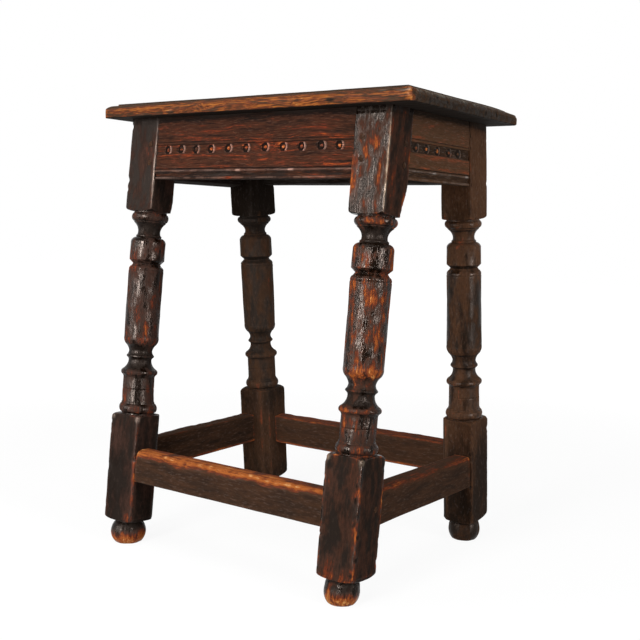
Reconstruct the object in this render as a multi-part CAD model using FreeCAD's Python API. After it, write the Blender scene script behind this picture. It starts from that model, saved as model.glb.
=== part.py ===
import FreeCAD, Part
import math
import os

# Joint stool of riven oak: four turned legs, moulded and carved rails, plain stretchers and a
# pegged seat board. Millimetres. X runs along the seat, +X to the right, -Y is the front, and +Z
# is up from the floor. The front and rear frames lean inwards, and the two ends stand upright.

# Whole frame
frame_height = 537.0            # floor to the underside of the seat board
frame_length = 381.6            # across the outer faces of the legs, left to right
frame_depth = 222.6             # across the outer faces of the legs at their tops, front to rear
splay_degrees = 5.75            # lean of the front and rear frames

# Seat board with a thumbnail edge
board_end_overhang = 34.7       # past the legs' outer faces at each end
board_side_overhang = 18.7      # past the legs' tops at the front and rear
board_thick = 18.0
board_nose = 8.0                # upright nose under the thumbnail
board_arris = 2.0               # worn lower arris
board_step = 2.4                # small step between the thumbnail and the top
thumbnail_width = 13.0

# Legs, measured along the leg from its foot
leg_square = 45.0
foot_height = 31.7              # turned foot under the lower block
lower_block = 133.1
turned_length = 259.8           # turning between the two blocks
shoulder_height = 5.5           # rounding of a block's corners where the turning starts
leg_arris = 1.2
wane = 8.0                      # missing inner arris of the riven billet
front_loss = 9.0                # wood missing behind a front leg's upper block, at its lower end

# Rails, with a carved band and a run moulding on the outer face
rail_height = 76.5
rail_thick = 24.0
rail_setback = 0.6              # rail face behind the leg face
moulding_height = 13.6
moulding_depth = 2.6
plain_height = 16.8             # plain strip between the moulding and the band
band_height = 11.8
band_depth = 1.6
ridge_height = 2.2              # fillet above the band
groove_width = 1.2
groove_depth = 1.0
carving_pitch = 25.5
hollow_radius = 5.2             # gouged hollow on the floor of the band
hollow_depth = 1.8
bead_radius = 3.0               # bead left standing in the hollow

# Stretchers
stretcher_low = 84.0
stretcher_height = 40.6
stretcher_thick = 23.0
stretcher_setback = 1.2
stretcher_arris = 1.0
stretcher_bevel = 3.2           # top outer arris worn by feet

# Tenons and mortises
tenon_thick = 8.5
tenon_back = 10.0               # leg face to the tenon
tenon_shoulder = 3.0            # rail or stretcher edge to the tenon
tenon_haunch = 12.0             # top of the frame to a rail's tenon
mortise_gap = 0.15              # beside and above the tenon
mortise_end_gap = 1.5
mortise_wall = 2.0              # wood left between the two mortises of a joint

# Pegs
peg_radius = 3.9
peg_tip = 6.0                   # tapered tip
peg_proud = 0.8
peg_gap = 0.3
peg_end_gap = 1.0
rail_peg_drop = 32.5            # top of the frame to the upper peg of a front or rear rail
rail_peg_step = 23.0            # between the two pegs of a joint
end_peg_drop = 38.0             # top of the frame to the upper peg of an end rail
seat_peg_reach = 100.0          # middle of the board to a seat peg
seat_peg_radius = 4.5
seat_peg_depth = 27.0           # seat peg in the rail

overrun = 3.0                   # cuts and joined stock run past each other by this

# Shares of the turned length and of half the leg's square: a straight run's end as height and
# radius, or an arc's middle and end.
turning_shares = [
    (0.000, 0.902), (0.007, 0.902),
    (0.029, 1.000, 0.051, 0.889), (0.057, 0.889), (0.059, 0.858),
    (0.117, 0.858), (0.119, 0.831), (0.122, 0.858), (0.172, 0.858),
    (0.179, 0.889, 0.186, 0.969), (0.198, 1.000, 0.209, 0.933),
    (0.226, 0.738, 0.257, 0.636), (0.262, 0.649),
    (0.267, 0.693, 0.273, 0.769), (0.279, 0.769), (0.286, 0.702, 0.303, 0.649),
    (0.316, 0.693, 0.330, 0.791), (0.345, 0.924, 0.374, 0.969),
    (0.543, 0.982, 0.717, 0.964), (0.720, 0.942), (0.723, 0.956),
    (0.734, 0.924, 0.742, 0.827), (0.753, 0.738), (0.761, 0.827, 0.772, 0.947),
    (0.861, 0.947), (0.875, 0.871, 0.885, 0.658), (0.887, 0.684), (0.893, 0.684),
    (0.899, 0.613), (0.911, 0.596), (0.927, 0.640, 0.950, 0.858), (0.955, 0.871),
    (0.957, 0.916), (0.973, 1.000, 0.991, 0.916), (1.000, 0.902),
]

# Shares of the foot's height and of half the leg's square, from under the floor line upwards
foot_shares = [
    (-0.080, 0.360), (0.500, 1.000, 0.880, 0.760), (0.930, 0.720), (0.960, 0.902), (1.000, 0.902),
]

# Shares of the moulding's height and depth, from the rail's lower edge upwards
moulding_shares = [
    (0.000, 0.550), (0.150, 0.100, 0.320, 0.600),
    (0.530, 1.000, 0.700, 0.450), (0.730, 0.080), (0.910, 0.080), (0.950, 0.500), (1.000, 0.000),
]

block_end_share = 0.930         # radius of a block's turned end, in half squares
shoulder_shares = (0.280, 0.700)  # middle of a shoulder's rounding: height, radius
peg_tip_share = 0.750           # tip's radius in peg radii
peg_head_share = 0.800          # head's flat in peg radii

V = FreeCAD.Vector
origin = V(0, 0, 0)
x_axis = V(1, 0, 0)
y_axis = V(0, 1, 0)
z_axis = V(0, 0, 1)

# Places that follow from the sizes
lean = math.radians(splay_degrees)
leg_half = leg_square / 2
foot_line = frame_depth / 2 + frame_height * math.tan(lean)   # leg face to the middle, at the floor
inner_face = frame_length / 2 - leg_square                    # leg's inner face to the middle, in X
tenon_length = leg_square - tenon_back - tenon_thick - mortise_gap - mortise_wall - mortise_end_gap
peg_length = leg_square - tenon_length / 2 - peg_radius - peg_end_gap
board_length = frame_length + 2 * board_end_overhang
board_width = frame_depth + 2 * board_side_overhang
rail_low = frame_height - rail_height
slope_low = rail_low / math.cos(lean)                         # rail's lower edge up the sloping frame
turned_low = foot_height + lower_block
turned_high = turned_low + turned_length
board_top = frame_height + board_thick


def outline_face(start, rows, place):
    """Face inside straight runs (two numbers) and arcs (middle and end, four numbers)."""
    edges = []
    here = place(*start)
    for row in rows:
        there = place(*row[-2:])
        if len(row) == 4:
            edges.append(Part.Arc(here, place(*row[:2]), there).toShape())
        else:
            edges.append(Part.LineSegment(here, there).toShape())
        here = there
    edges.append(Part.LineSegment(here, place(*start)).toShape())
    return Part.Face(Part.Wire(edges))


def scaled(rows, base, length, reach, start=0.0):
    """Rows of shares turned into heights above base and reaches from start."""
    result = []
    for row in rows:
        values = []
        for index, share in enumerate(row):
            values.append(start + share * reach if index % 2 else base + share * length)
        result.append(tuple(values))
    return result


def revolved(rows):
    """Solid of revolution about Z from rows of height and radius."""
    low = (rows[0][0], 0)
    high = (rows[-1][-2], 0)
    face = outline_face(low, rows + [high], lambda height, radius: V(radius, 0, height))
    return face.revolve(origin, z_axis, 360)


def box_between(low, high):
    """Box from its lowest to its highest corner."""
    size = high.sub(low)
    return Part.makeBox(size.x, size.y, size.z, low)


def in_front_frame(shape):
    """Leans a shape built with its outer face at Y = 0 back into the front frame's plane."""
    shape.rotate(origin, x_axis, -splay_degrees)
    shape.translate(V(0, -foot_line, 0))
    return shape


def on_side(shape, right=True, front=True):
    """Mirrors a front right shape to the side asked for."""
    if not right:
        shape = shape.mirror(origin, x_axis)
    if not front:
        shape = shape.mirror(origin, y_axis)
    return shape


def sloped_y(depth, height):
    """Y of the plane that lies this deep behind the front legs' face, at a height."""
    return height * math.tan(lean) + depth / math.cos(lean) - foot_line


def sloped_slab(x_low, x_high, depth_low, depth_high, z_low, z_high):
    """Level topped slab between two planes parallel to the front legs' face."""
    points = [
        V(x_low, sloped_y(depth_low, z_low), z_low),
        V(x_low, sloped_y(depth_high, z_low), z_low),
        V(x_low, sloped_y(depth_high, z_high), z_high),
        V(x_low, sloped_y(depth_low, z_high), z_high),
    ]
    face = Part.Face(Part.makePolygon(points + points[:1]))
    return face.extrude(V(x_high - x_low, 0, 0))


def below_frame_top(shape):
    """Cuts a shape level where the seat board lies on the frame."""
    reach = board_length + foot_line
    return shape.cut(box_between(V(-reach, -reach, frame_height), V(reach, reach, frame_height + reach)))


# Tenons and their mortises. A gap of zero gives the tenon, a larger one the mortise.

def front_tenon(low, high, gap=0.0, end_gap=0.0):
    """Right-hand tenon of the front frame, between two heights up the slope, from its shoulder."""
    return box_between(
        V(inner_face - overrun, tenon_back - gap, low - gap),
        V(inner_face + tenon_length + end_gap, tenon_back + tenon_thick + gap, high + gap),
    )


def end_tenon(low, high, gap=0.0, end_gap=0.0):
    """Front tenon of the right end, between two heights, with a slanting end and shoulder."""
    outer = frame_length / 2 - tenon_back
    return sloped_slab(
        outer - tenon_thick - gap, outer + gap,
        leg_square - tenon_length - end_gap, leg_square + overrun, low - gap, high + gap,
    )


rail_tenon = (rail_low + tenon_shoulder, frame_height - tenon_haunch)
stretcher_tenon = (stretcher_low + tenon_shoulder, stretcher_low + stretcher_height - tenon_shoulder)


def up_slope(heights):
    """The same heights measured up the sloping frame."""
    return [height / math.cos(lean) for height in heights]


# Pegs. Each is given by the point on the leg's face where it is driven in, and its direction.

def peg(point, inward, length, radius, proud=0.0):
    """Shaved peg with a chamfered head and a tapered tip."""
    rows = [(-proud, radius * peg_head_share)]
    if proud:
        rows.append((-proud * (1 - peg_head_share), radius))
    else:
        rows = [(0, radius)]
    rows += [(length - peg_tip, radius), (length, radius * peg_tip_share)]
    shape = revolved(rows)
    shape.Placement = FreeCAD.Placement(point, FreeCAD.Rotation(z_axis, inward))
    return shape


def peg_hole(point, inward, length, radius):
    """Blind hole for a peg, open past the face."""
    start = point.sub(V(inward).multiply(overrun))
    return Part.makeCylinder(radius + peg_gap, length + overrun + peg_end_gap / 2, start, inward)


def front_peg_points(heights):
    """Peg points on the front face of the front right leg, in the upright front frame."""
    return [V(inner_face + tenon_length / 2, 0, height) for height in up_slope(heights)]


def end_peg_points(heights):
    """Peg points on the right face of the front right leg."""
    depth = leg_square - tenon_length / 2
    return [V(frame_length / 2, sloped_y(depth, height), height) for height in heights]


stretcher_pegs = [stretcher_low + stretcher_height / 2]
front_rail_pegs = [frame_height - rail_peg_drop, frame_height - rail_peg_drop - rail_peg_step]
end_rail_pegs = [frame_height - end_peg_drop, frame_height - end_peg_drop - rail_peg_step]


def front_peg_holes(heights):
    return [peg_hole(point, y_axis, peg_length, peg_radius) for point in front_peg_points(heights)]


def end_peg_holes(heights):
    inward = x_axis.negative()
    return [peg_hole(point, inward, peg_length, peg_radius) for point in end_peg_points(heights)]


def front_pegs(heights):
    shapes = [peg(point, y_axis, peg_length, peg_radius, peg_proud) for point in front_peg_points(heights)]
    return in_front_frame(Part.makeCompound(shapes))


def end_pegs(heights):
    inward = x_axis.negative()
    shapes = [peg(point, inward, peg_length, peg_radius, peg_proud) for point in end_peg_points(heights)]
    return Part.makeCompound(shapes)


def seat_peg_point():
    """Top of the front right seat peg, over the middle of the front rail's thickness."""
    middle = rail_setback + rail_thick / 2
    return V(seat_peg_reach, sloped_y(middle, frame_height - seat_peg_depth / 2), board_top)


def seat_peg(cutter=False):
    """Front right seat peg, or the hole for it."""
    length = board_thick + seat_peg_depth
    down = z_axis.negative()
    if cutter:
        return peg_hole(seat_peg_point(), down, length, seat_peg_radius)
    return peg(seat_peg_point(), down, length, seat_peg_radius)


# Legs

def leg_block(low, high, round_low=True, round_high=True):
    """Square block about the leg's axis, with worn arrises, a waney inner one and turned ends."""
    corners = [
        (leg_half, -leg_half, leg_arris), (leg_half, leg_half, leg_arris),
        (-leg_half, leg_half, wane), (-leg_half, -leg_half, leg_arris),
    ]
    points = []
    for index, (x, y, cut) in enumerate(corners):
        across = V(-math.copysign(cut, x), 0, 0)
        along = V(0, -math.copysign(cut, y), 0)
        corner = V(x, y, low)
        first, second = (across, along) if index % 2 == 0 else (along, across)
        points += [corner.add(first), corner.add(second)]
    prism = Part.Face(Part.makePolygon(points + points[:1])).extrude(V(0, 0, high - low))

    end = leg_half * block_end_share
    full = leg_half * math.sqrt(2) + overrun
    rise, run = shoulder_shares
    middle = end + (full - end) * run
    rows = [(low, end), (low + shoulder_height * rise, middle, low + shoulder_height, full)]
    if not round_low:
        rows = [(low, full)]
    if round_high:
        rows += [(high - shoulder_height, full), (high - shoulder_height * rise, middle, high, end)]
    else:
        rows += [(high, full)]
    return prism.common(revolved(rows))


def turned_part(rows):
    """Turned length that runs on into the blocks above and below it."""
    first, last = rows[0], rows[-1]
    return revolved([(first[0] - overrun, first[1])] + rows + [(last[-2] + overrun, last[-1])])


def turned_foot():
    """Turned foot, running down past the floor line to be cut level there."""
    rows = scaled(foot_shares, 0, foot_height, leg_half)
    last = rows[-1]
    return revolved(rows + [(last[-2] + overrun, last[-1])])


def leg(loss):
    """Front right leg, with the loss of wood behind its upper block."""
    top = frame_height / math.cos(lean) + leg_square
    upper = leg_block(turned_high, top, round_high=False)
    if loss:
        wedge = [
            V(-leg_square, leg_half - loss, turned_high), V(-leg_square, leg_half + overrun, turned_high),
            V(-leg_square, leg_half + overrun, slope_low), V(-leg_square, leg_half, slope_low),
        ]
        cutter = Part.Face(Part.makePolygon(wedge + wedge[:1])).extrude(V(2 * leg_square, 0, 0))
        upper = upper.cut(cutter)
    lower = leg_block(foot_height, turned_low)
    turning = turned_part(scaled(turning_shares, turned_low, turned_length, leg_half))
    shape = upper.fuse([turning, lower, turned_foot()])
    shape.translate(V(frame_length / 2 - leg_half, leg_half, 0))

    cuts = [
        front_tenon(*up_slope(rail_tenon), mortise_gap, mortise_end_gap),
        front_tenon(*up_slope(stretcher_tenon), mortise_gap, mortise_end_gap),
    ]
    cuts += front_peg_holes(front_rail_pegs + stretcher_pegs)
    shape = in_front_frame(shape.cut(cuts))

    cuts = [
        end_tenon(*rail_tenon, mortise_gap, mortise_end_gap),
        end_tenon(*stretcher_tenon, mortise_gap, mortise_end_gap),
    ]
    cuts += end_peg_holes(end_rail_pegs + stretcher_pegs)
    reach = frame_length + foot_line
    cuts.append(box_between(V(-reach, -reach, -reach), V(reach, reach, 0)))
    return below_frame_top(shape.cut(cuts))


# Rails and stretchers. Their outlines run from the lower back corner round the outer face, as
# height above the lower edge and depth behind the leg's face.

def rail_outline(extra):
    """Moulded and sunk rail section, with extra height to cut level."""
    face = rail_setback
    band_low = moulding_height + plain_height
    band_high = band_low + band_height
    ridge_high = band_high + ridge_height
    rows = scaled(moulding_shares, 0, moulding_height, moulding_depth, face)
    rows += [
        (band_low, face), (band_low, face + band_depth), (band_high, face + band_depth),
        (band_high, face), (ridge_high, face),
        (ridge_high + groove_width / 2, face + groove_depth), (ridge_high + groove_width, face),
        (rail_height + extra, face), (rail_height + extra, face + rail_thick),
    ]
    return (0, face + rail_thick), rows


def stretcher_outline():
    """Plain section with a bevel on the top outer arris."""
    face = stretcher_setback
    back = face + stretcher_thick
    rows = [
        (0, face + stretcher_arris), (stretcher_arris, face),
        (stretcher_height - stretcher_bevel, face), (stretcher_height, face + stretcher_bevel),
        (stretcher_height, back - stretcher_arris), (stretcher_height - stretcher_arris, back),
        (stretcher_arris, back),
    ]
    return (0, back - stretcher_arris), rows


def front_bar(outline, low):
    """Bar between the front legs, in the upright front frame, from its outline and lower edge."""
    start, rows = outline
    face = outline_face(start, rows, lambda height, depth: V(-inner_face, depth, low + height))
    return face.extrude(V(2 * inner_face, 0, 0))


def end_bar(outline, low, high):
    """Bar between the right legs, from its outline, cut to their leaning inner faces."""
    start, rows = outline
    reach = foot_line
    outer = frame_length / 2
    face = outline_face(start, rows, lambda height, depth: V(outer - depth, -reach, low + height))
    bar = face.extrude(V(0, 2 * reach, 0))
    points = []
    for side, heights in ((1, (low, high)), (-1, (high, low))):
        points += [V(0, side * sloped_y(leg_square, height), height) for height in heights]
    room = Part.Face(Part.makePolygon(points + points[:1])).extrude(V(outer, 0, 0))
    return bar.common(room)


def carved(shape, points, outward):
    """Row of gouged hollows, each with a bead left standing in it."""
    ball = (hollow_radius ** 2 + hollow_depth ** 2) / (2 * hollow_depth)
    hollows = []
    beads = []
    for point in points:
        floor = point.sub(V(outward).multiply(band_depth))
        hollows.append(Part.makeSphere(ball, floor.add(V(outward).multiply(ball - hollow_depth))))
        beads.append(Part.makeSphere(bead_radius, point.sub(V(outward).multiply(bead_radius))))
    return shape.cut(hollows).fuse(beads)


def carving_places(length):
    """Centres of as many carved units as the length holds, about its middle."""
    count = max(1, int(length // carving_pitch))
    return [(index - (count - 1) / 2) * carving_pitch for index in range(count)]


band_middle = moulding_height + plain_height + band_height / 2


def front_rail():
    """Front rail with a tenon at each end."""
    low = slope_low
    shape = front_bar(rail_outline(rail_thick), low)
    points = [V(x, rail_setback, low + band_middle) for x in carving_places(2 * inner_face)]
    shape = carved(shape, points, y_axis.negative())
    tenon = front_tenon(*up_slope(rail_tenon))
    holes = front_peg_holes(front_rail_pegs)
    shape = shape.fuse([tenon, on_side(tenon, right=False)])
    shape = in_front_frame(shape.cut(holes + [on_side(hole, right=False) for hole in holes]))
    peg_holes = [seat_peg(cutter=True), on_side(seat_peg(cutter=True), right=False)]
    return below_frame_top(shape).cut(peg_holes)


def end_rail():
    """Right end rail with a tenon at each end."""
    shape = end_bar(rail_outline(0.0), rail_low, frame_height)
    middle = rail_low + band_middle
    room = -2 * sloped_y(leg_square, middle)
    points = [V(frame_length / 2 - rail_setback, y, middle) for y in carving_places(room)]
    shape = carved(shape, points, x_axis)
    tenon = end_tenon(*rail_tenon)
    holes = end_peg_holes(end_rail_pegs)
    shape = shape.fuse([tenon, on_side(tenon, front=False)])
    return shape.cut(holes + [on_side(hole, front=False) for hole in holes])


def front_stretcher():
    """Front stretcher with a tenon at each end."""
    shape = front_bar(stretcher_outline(), stretcher_low / math.cos(lean))
    tenon = front_tenon(*up_slope(stretcher_tenon))
    holes = front_peg_holes(stretcher_pegs)
    shape = shape.fuse([tenon, on_side(tenon, right=False)])
    return in_front_frame(shape.cut(holes + [on_side(hole, right=False) for hole in holes]))


def end_stretcher():
    """Right end stretcher with a tenon at each end."""
    shape = end_bar(stretcher_outline(), stretcher_low, stretcher_low + stretcher_height)
    tenon = end_tenon(*stretcher_tenon)
    holes = end_peg_holes(stretcher_pegs)
    shape = shape.fuse([tenon, on_side(tenon, front=False)])
    return shape.cut(holes + [on_side(hole, front=False) for hole in holes])


def moulded_slab(half_width, place, run, normal):
    """Slab of the board's thickness with the thumbnail along its two edges, before mitring."""
    nose_top = frame_height + board_nose
    step_low = board_top - board_step
    corner_share = 1 - math.sqrt(0.5)
    rows = [
        (half_width - board_arris, frame_height),
        (half_width - board_arris * corner_share, frame_height + board_arris * corner_share,
         half_width, frame_height + board_arris),
        (half_width, nose_top),
        (half_width - thumbnail_width * corner_share, step_low - (step_low - nose_top) * corner_share,
         half_width - thumbnail_width, step_low),
        (half_width - thumbnail_width, board_top), (0, board_top),
    ]
    half = outline_face((0, frame_height), rows, place).extrude(run)
    return half.fuse(half.mirror(origin, normal)).removeSplitter()


def seat_board():
    """Seat board with mitred thumbnail edges and four peg holes."""
    reach_x = board_length / 2
    reach_y = board_width / 2
    long_edges = moulded_slab(
        reach_y, lambda reach, height: V(-reach_x, reach, height), V(board_length, 0, 0), y_axis)
    short_edges = moulded_slab(
        reach_x, lambda reach, height: V(reach, -reach_y, height), V(0, board_width, 0), x_axis)
    hole = seat_peg(cutter=True)
    holes = [on_side(hole, right, front) for right in (True, False) for front in (True, False)]
    return long_edges.common(short_edges).cut(holes)


def write(name, shape):
    """Writes one piece, or one group of pegs, as a STEP file."""
    shape.exportStep("parts/" + name + ".step")


os.makedirs("parts", exist_ok=True)

write("seat_board", seat_board())

for front, face in ((True, "front"), (False, "rear")):
    shape = leg(front_loss if front else 0)
    for right, hand in ((True, "right"), (False, "left")):
        write("leg_" + face + "_" + hand, on_side(shape, right, front))
        write(face + "_rail_pegs_" + hand, on_side(front_pegs(front_rail_pegs), right, front))
        write(hand + "_rail_pegs_" + face, on_side(end_pegs(end_rail_pegs), right, front))
        write(face + "_stretcher_peg_" + hand, on_side(front_pegs(stretcher_pegs), right, front))
        write(hand + "_stretcher_peg_" + face, on_side(end_pegs(stretcher_pegs), right, front))
        write("seat_peg_" + face + "_" + hand, on_side(seat_peg(), right, front))
    write("rail_" + face, on_side(front_rail(), front=front))
    write("stretcher_" + face, on_side(front_stretcher(), front=front))

for right, hand in ((True, "right"), (False, "left")):
    write("rail_" + hand, on_side(end_rail(), right=right))
    write("stretcher_" + hand, on_side(end_stretcher(), right=right))
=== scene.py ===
"""Old oak joint stool: turned legs, carved rails, worn stretchers and a moulded seat board."""
import math
from types import SimpleNamespace

import bpy
import numpy as np
from mathutils import Matrix, Vector, noise


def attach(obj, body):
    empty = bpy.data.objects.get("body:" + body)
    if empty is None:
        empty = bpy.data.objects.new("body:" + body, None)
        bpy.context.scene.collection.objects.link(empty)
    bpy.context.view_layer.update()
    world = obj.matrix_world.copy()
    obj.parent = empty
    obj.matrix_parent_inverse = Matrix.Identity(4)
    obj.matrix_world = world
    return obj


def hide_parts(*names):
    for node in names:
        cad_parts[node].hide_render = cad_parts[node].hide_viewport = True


bl_info = {
    "name": "Joint Stool",
    "version": (1, 0, 0),
    "blender": (4, 5, 0),
    "location": "3D View > Sidebar > Stool",
    "description": "Builds an old oak joint stool with turned legs, carved rails and a pegged seat",
    "category": "Add Mesh",
}

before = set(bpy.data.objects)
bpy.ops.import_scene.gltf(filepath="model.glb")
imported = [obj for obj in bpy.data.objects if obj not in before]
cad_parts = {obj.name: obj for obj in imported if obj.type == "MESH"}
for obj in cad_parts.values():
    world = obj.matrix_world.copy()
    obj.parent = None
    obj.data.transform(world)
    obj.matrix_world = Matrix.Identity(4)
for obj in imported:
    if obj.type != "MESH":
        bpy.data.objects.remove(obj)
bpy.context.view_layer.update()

MM = 0.001                     # shapes are worked out in millimetres and made in metres
SIDES = [(face, hand) for face in ("front", "rear") for hand in ("right", "left")]
ARC_PIECES = 16                # straight pieces of an arc
LINE_STEP = 0.1                # between the points of a line while its corners are rounded
# Seeds of the pieces' unevenness and grain; the legs' are with their own ways
BOARD_SEED, RAIL_SEED, STRETCHER_SEED, PEG_SEED = 5.0, 11.0, 21.0, 30.0


# Properties

def length(name, description, millimetres):
    """Property for a length, from its default in millimetres."""
    return bpy.props.FloatProperty(
        name=name, description=description, default=millimetres * MM, min=0.0, precision=4,
        unit="LENGTH")


def share(name, description, value):
    """Property for a share between 0 and 1."""
    return bpy.props.FloatProperty(
        name=name, description=description, default=value, min=0.0, max=1.0, subtype="FACTOR")


def colour(name, description, value):
    """Property for a finish's colour, from its screen values of 0 to 255."""
    return bpy.props.FloatVectorProperty(
        name=name, description=description, size=3, min=0.0, max=1.0, subtype="COLOR",
        default=[(part / 255) ** 2.2 for part in value])


class StoolSizes(bpy.types.PropertyGroup):
    """Sizes of the stool's pieces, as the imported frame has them"""

    frame_height: length("Frame height", "Floor to the underside of the seat board", 537.0)
    frame_length: length("Frame length", "Across the outer faces of the legs", 381.6)
    frame_depth: length("Frame depth", "Across the tops of the legs, front to rear", 222.6)
    lean: bpy.props.FloatProperty(
        name="Lean", description="Lean of the front and rear frames",
        default=math.radians(5.75), unit="ROTATION")
    leg_square: length("Leg square", "Side of the legs' square blocks", 45.0)
    foot_height: length("Foot height", "Turned foot under the lower block", 31.7)
    lower_block: length("Lower block", "Length of the lower square block", 133.1)
    turned_length: length("Turned length", "Turning between the two blocks", 259.8)
    shoulder: length("Shoulder", "Rounding of a block's corners at the turning", 5.5)
    wane: length("Wane", "Missing inner arris of each leg", 8.0)
    front_loss: length("Front loss", "Wood missing behind the front legs' upper blocks", 9.0)
    rail_height: length("Rail height", "Height of the four rails", 76.5)
    rail_thick: length("Rail thickness", "Thickness of the four rails", 24.0)
    rail_setback: length("Rail setback", "Rail face behind the leg face", 0.6)
    moulding_height: length("Moulding height", "Run moulding on a rail's lower edge", 13.6)
    moulding_depth: length("Moulding depth", "Depth of the run moulding", 2.6)
    band_low: length("Band height", "Rail's lower edge to the carved band", 30.4)
    band_width: length("Band width", "Width of the carved band", 11.8)
    band_depth: length("Band depth", "Depth of the carved band", 1.6)
    ridge: length("Ridge", "Fillet above the carved band", 2.2)
    groove: length("Groove", "Scratched groove above the fillet", 1.2)
    stretcher_low: length("Stretcher place", "Floor to the stretchers", 84.0)
    stretcher_height: length("Stretcher height", "Height of the four stretchers", 40.6)
    stretcher_thick: length("Stretcher thickness", "Thickness of the four stretchers", 23.0)
    stretcher_setback: length("Stretcher setback", "Stretcher face behind the leg face", 1.2)
    board_length: length("Board length", "Length of the seat board", 451.0)
    board_width: length("Board width", "Width of the seat board", 260.0)
    board_thick: length("Board thickness", "Thickness of the seat board", 18.0)
    board_nose: length("Board nose", "Upright nose under the thumbnail", 8.0)
    board_step: length("Board step", "Small step between the thumbnail and the top", 2.4)
    thumbnail: length("Thumbnail", "Width of the board's thumbnail moulding", 13.0)
    peg_radius: length("Peg radius", "Radius of the pegs in the legs", 3.9)
    peg_length: length("Peg length", "Length of the pegs in the legs", 28.0)
    peg_proud: length("Peg proud", "How far the pegs stand out of the legs", 0.6)
    seat_peg_radius: length("Seat peg radius", "Radius of the pegs in the seat board", 4.5)
    seat_peg_length: length("Seat peg length", "Length of the pegs in the seat board", 45.0)
    seat_peg_reach: length("Seat peg reach", "Middle of the board to a seat peg", 100.0)
    housed: length("Housed", "How far a rail's end runs into the uneven face of a leg", 2.0)


class StoolFinish(bpy.types.PropertyGroup):
    """Colours of the old waxed oak"""

    ground: colour("Ground", "Darkest wax and dirt in the grain", (21, 14, 8))
    brown: colour("Brown", "Main brown of the waxed wood", (60, 40, 27))
    red: colour("Red", "Red brown of handled wood", (96, 46, 28))
    rubbed: colour("Rubbed", "Bright wood where the wax is rubbed away", (146, 80, 36))
    bare: colour("Bare", "Palest worn wood of the feet and edges", (198, 146, 92))
    dust: colour("Dust", "Grey bloom on the wax", (128, 112, 104))
    # this pale colour also paints the highlights on the arrises, the carved lips and the board's
    # right end
    scuffed: colour("Scuffed", "Pale scuffs on the arrises", (186, 172, 162))
    floor: colour("Floor", "Studio floor", (205, 205, 205))
    wear: share("Wear", "How far the edges are rubbed to bright wood", 0.5)
    # dirt also sets how dark the painted shade just below the seat board and on faces that look
    # down is
    dirt: share("Dirt", "How much dark wax fills the recesses", 0.6)


def in_millimetres(group):
    """The sizes as plain numbers, lengths in millimetres, with the places that follow from them."""
    size = SimpleNamespace()
    for name in group.__annotations__:
        scale = 1.0 if name == "lean" else 1.0 / MM
        setattr(size, name, getattr(group, name) * scale)
    size.half = size.leg_square / 2
    size.foot_line = size.frame_depth / 2 + size.frame_height * math.tan(size.lean)
    size.inner_face = size.frame_length / 2 - size.leg_square
    size.rail_low = size.frame_height - size.rail_height
    size.turned_low = size.foot_height + size.lower_block
    size.turned_high = size.turned_low + size.turned_length
    return size


# Lines and rings

def arc_points(start, middle, end):
    """Points that follow start on the arc through three points."""
    start, middle, end = (np.array(point, float) for point in (start, middle, end))
    first, second = middle - start, end - start
    twice = 2 * (first[0] * second[1] - first[1] * second[0])
    offset = np.array([
        second[1] * (first @ first) - first[1] * (second @ second),
        first[0] * (second @ second) - second[0] * (first @ first),
    ]) / twice
    centre = start + offset
    angles = [math.atan2(*(point - centre)[::-1]) for point in (start, middle, end)]
    sweep = (angles[2] - angles[0]) % math.tau
    if (angles[1] - angles[0]) % math.tau > sweep:
        sweep -= math.tau
    turn = angles[0] + np.linspace(0, sweep, ARC_PIECES + 1)[1:]
    radius = np.linalg.norm(start - centre)
    return centre + radius * np.stack([np.cos(turn), np.sin(turn)], axis=1)


def traced(start, rows):
    """Line through straight runs (two numbers) and arcs (middle and end, four numbers)."""
    points = [np.array([start], float)]
    for row in rows:
        here = points[-1][-1]
        if len(row) == 4:
            points.append(arc_points(here, row[:2], row[2:]))
        else:
            points.append(np.array([row], float))
    return np.concatenate(points)


def scaled(rows, base, height, start, reach):
    """Rows of shares turned into heights above base and reaches from start."""
    return [
        tuple(start + value * reach if index % 2 else base + value * height
              for index, value in enumerate(row))
        for row in rows
    ]


def softened(line, wear):
    """The line with its corners rounded by wear, as evenly spaced points."""
    runs = np.linalg.norm(np.diff(line, axis=0), axis=1)
    along = np.concatenate([[0.0], np.cumsum(runs)])
    even = np.linspace(0, along[-1], max(2, int(along[-1] / LINE_STEP)))
    points = np.stack([np.interp(even, along, line[:, axis]) for axis in (0, 1)], axis=1)
    reach = int(3 * wear / LINE_STEP) + 1
    weights = np.exp(-0.5 * (np.arange(-reach, reach + 1) * LINE_STEP / wear) ** 2)
    weights /= weights.sum()
    padded = np.pad(points, ((reach, reach), (0, 0)), mode="reflect", reflect_type="odd")
    return np.stack([np.convolve(padded[:, axis], weights, "valid") for axis in (0, 1)], axis=1)


def spaced(line, step, turn, fine=None):
    """Points along the line, closer where it bends; fine gives a height range and its step."""
    runs = np.diff(line, axis=0)
    span = np.linalg.norm(runs, axis=1)
    heading = np.unwrap(np.arctan2(runs[:, 1], runs[:, 0]))
    cost = span / step + np.abs(np.gradient(heading)) / math.radians(turn)
    if fine:
        low, high, front, close = fine
        middle = (line[1:] + line[:-1]) / 2
        inside = (middle[:, 0] > low) & (middle[:, 0] < high) & (middle[:, 1] < front)
        cost = np.where(inside, np.maximum(cost, span / close), cost)
    total = np.concatenate([[0.0], np.cumsum(cost)])
    marks = np.linspace(0, total[-1], int(total[-1]) + 2)
    return np.stack([np.interp(marks, total, line[:, axis]) for axis in (0, 1)], axis=1)


def waver(points, size, seed):
    """Smooth unevenness between about -1 and 1, in humps of about this size."""
    shape = points.shape[:-1]
    places = points.reshape(-1, 3) / size + (seed * 3.7, seed * 9.1, seed * 5.3)
    return np.array([noise.noise(place) for place in places.tolist()]).reshape(shape)


def eased(value, low, high):
    """0 below low, 1 above high and a smooth step between."""
    part = np.clip((value - low) / (high - low), 0, 1)
    return part * part * (3 - 2 * part)


# Meshes

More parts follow.
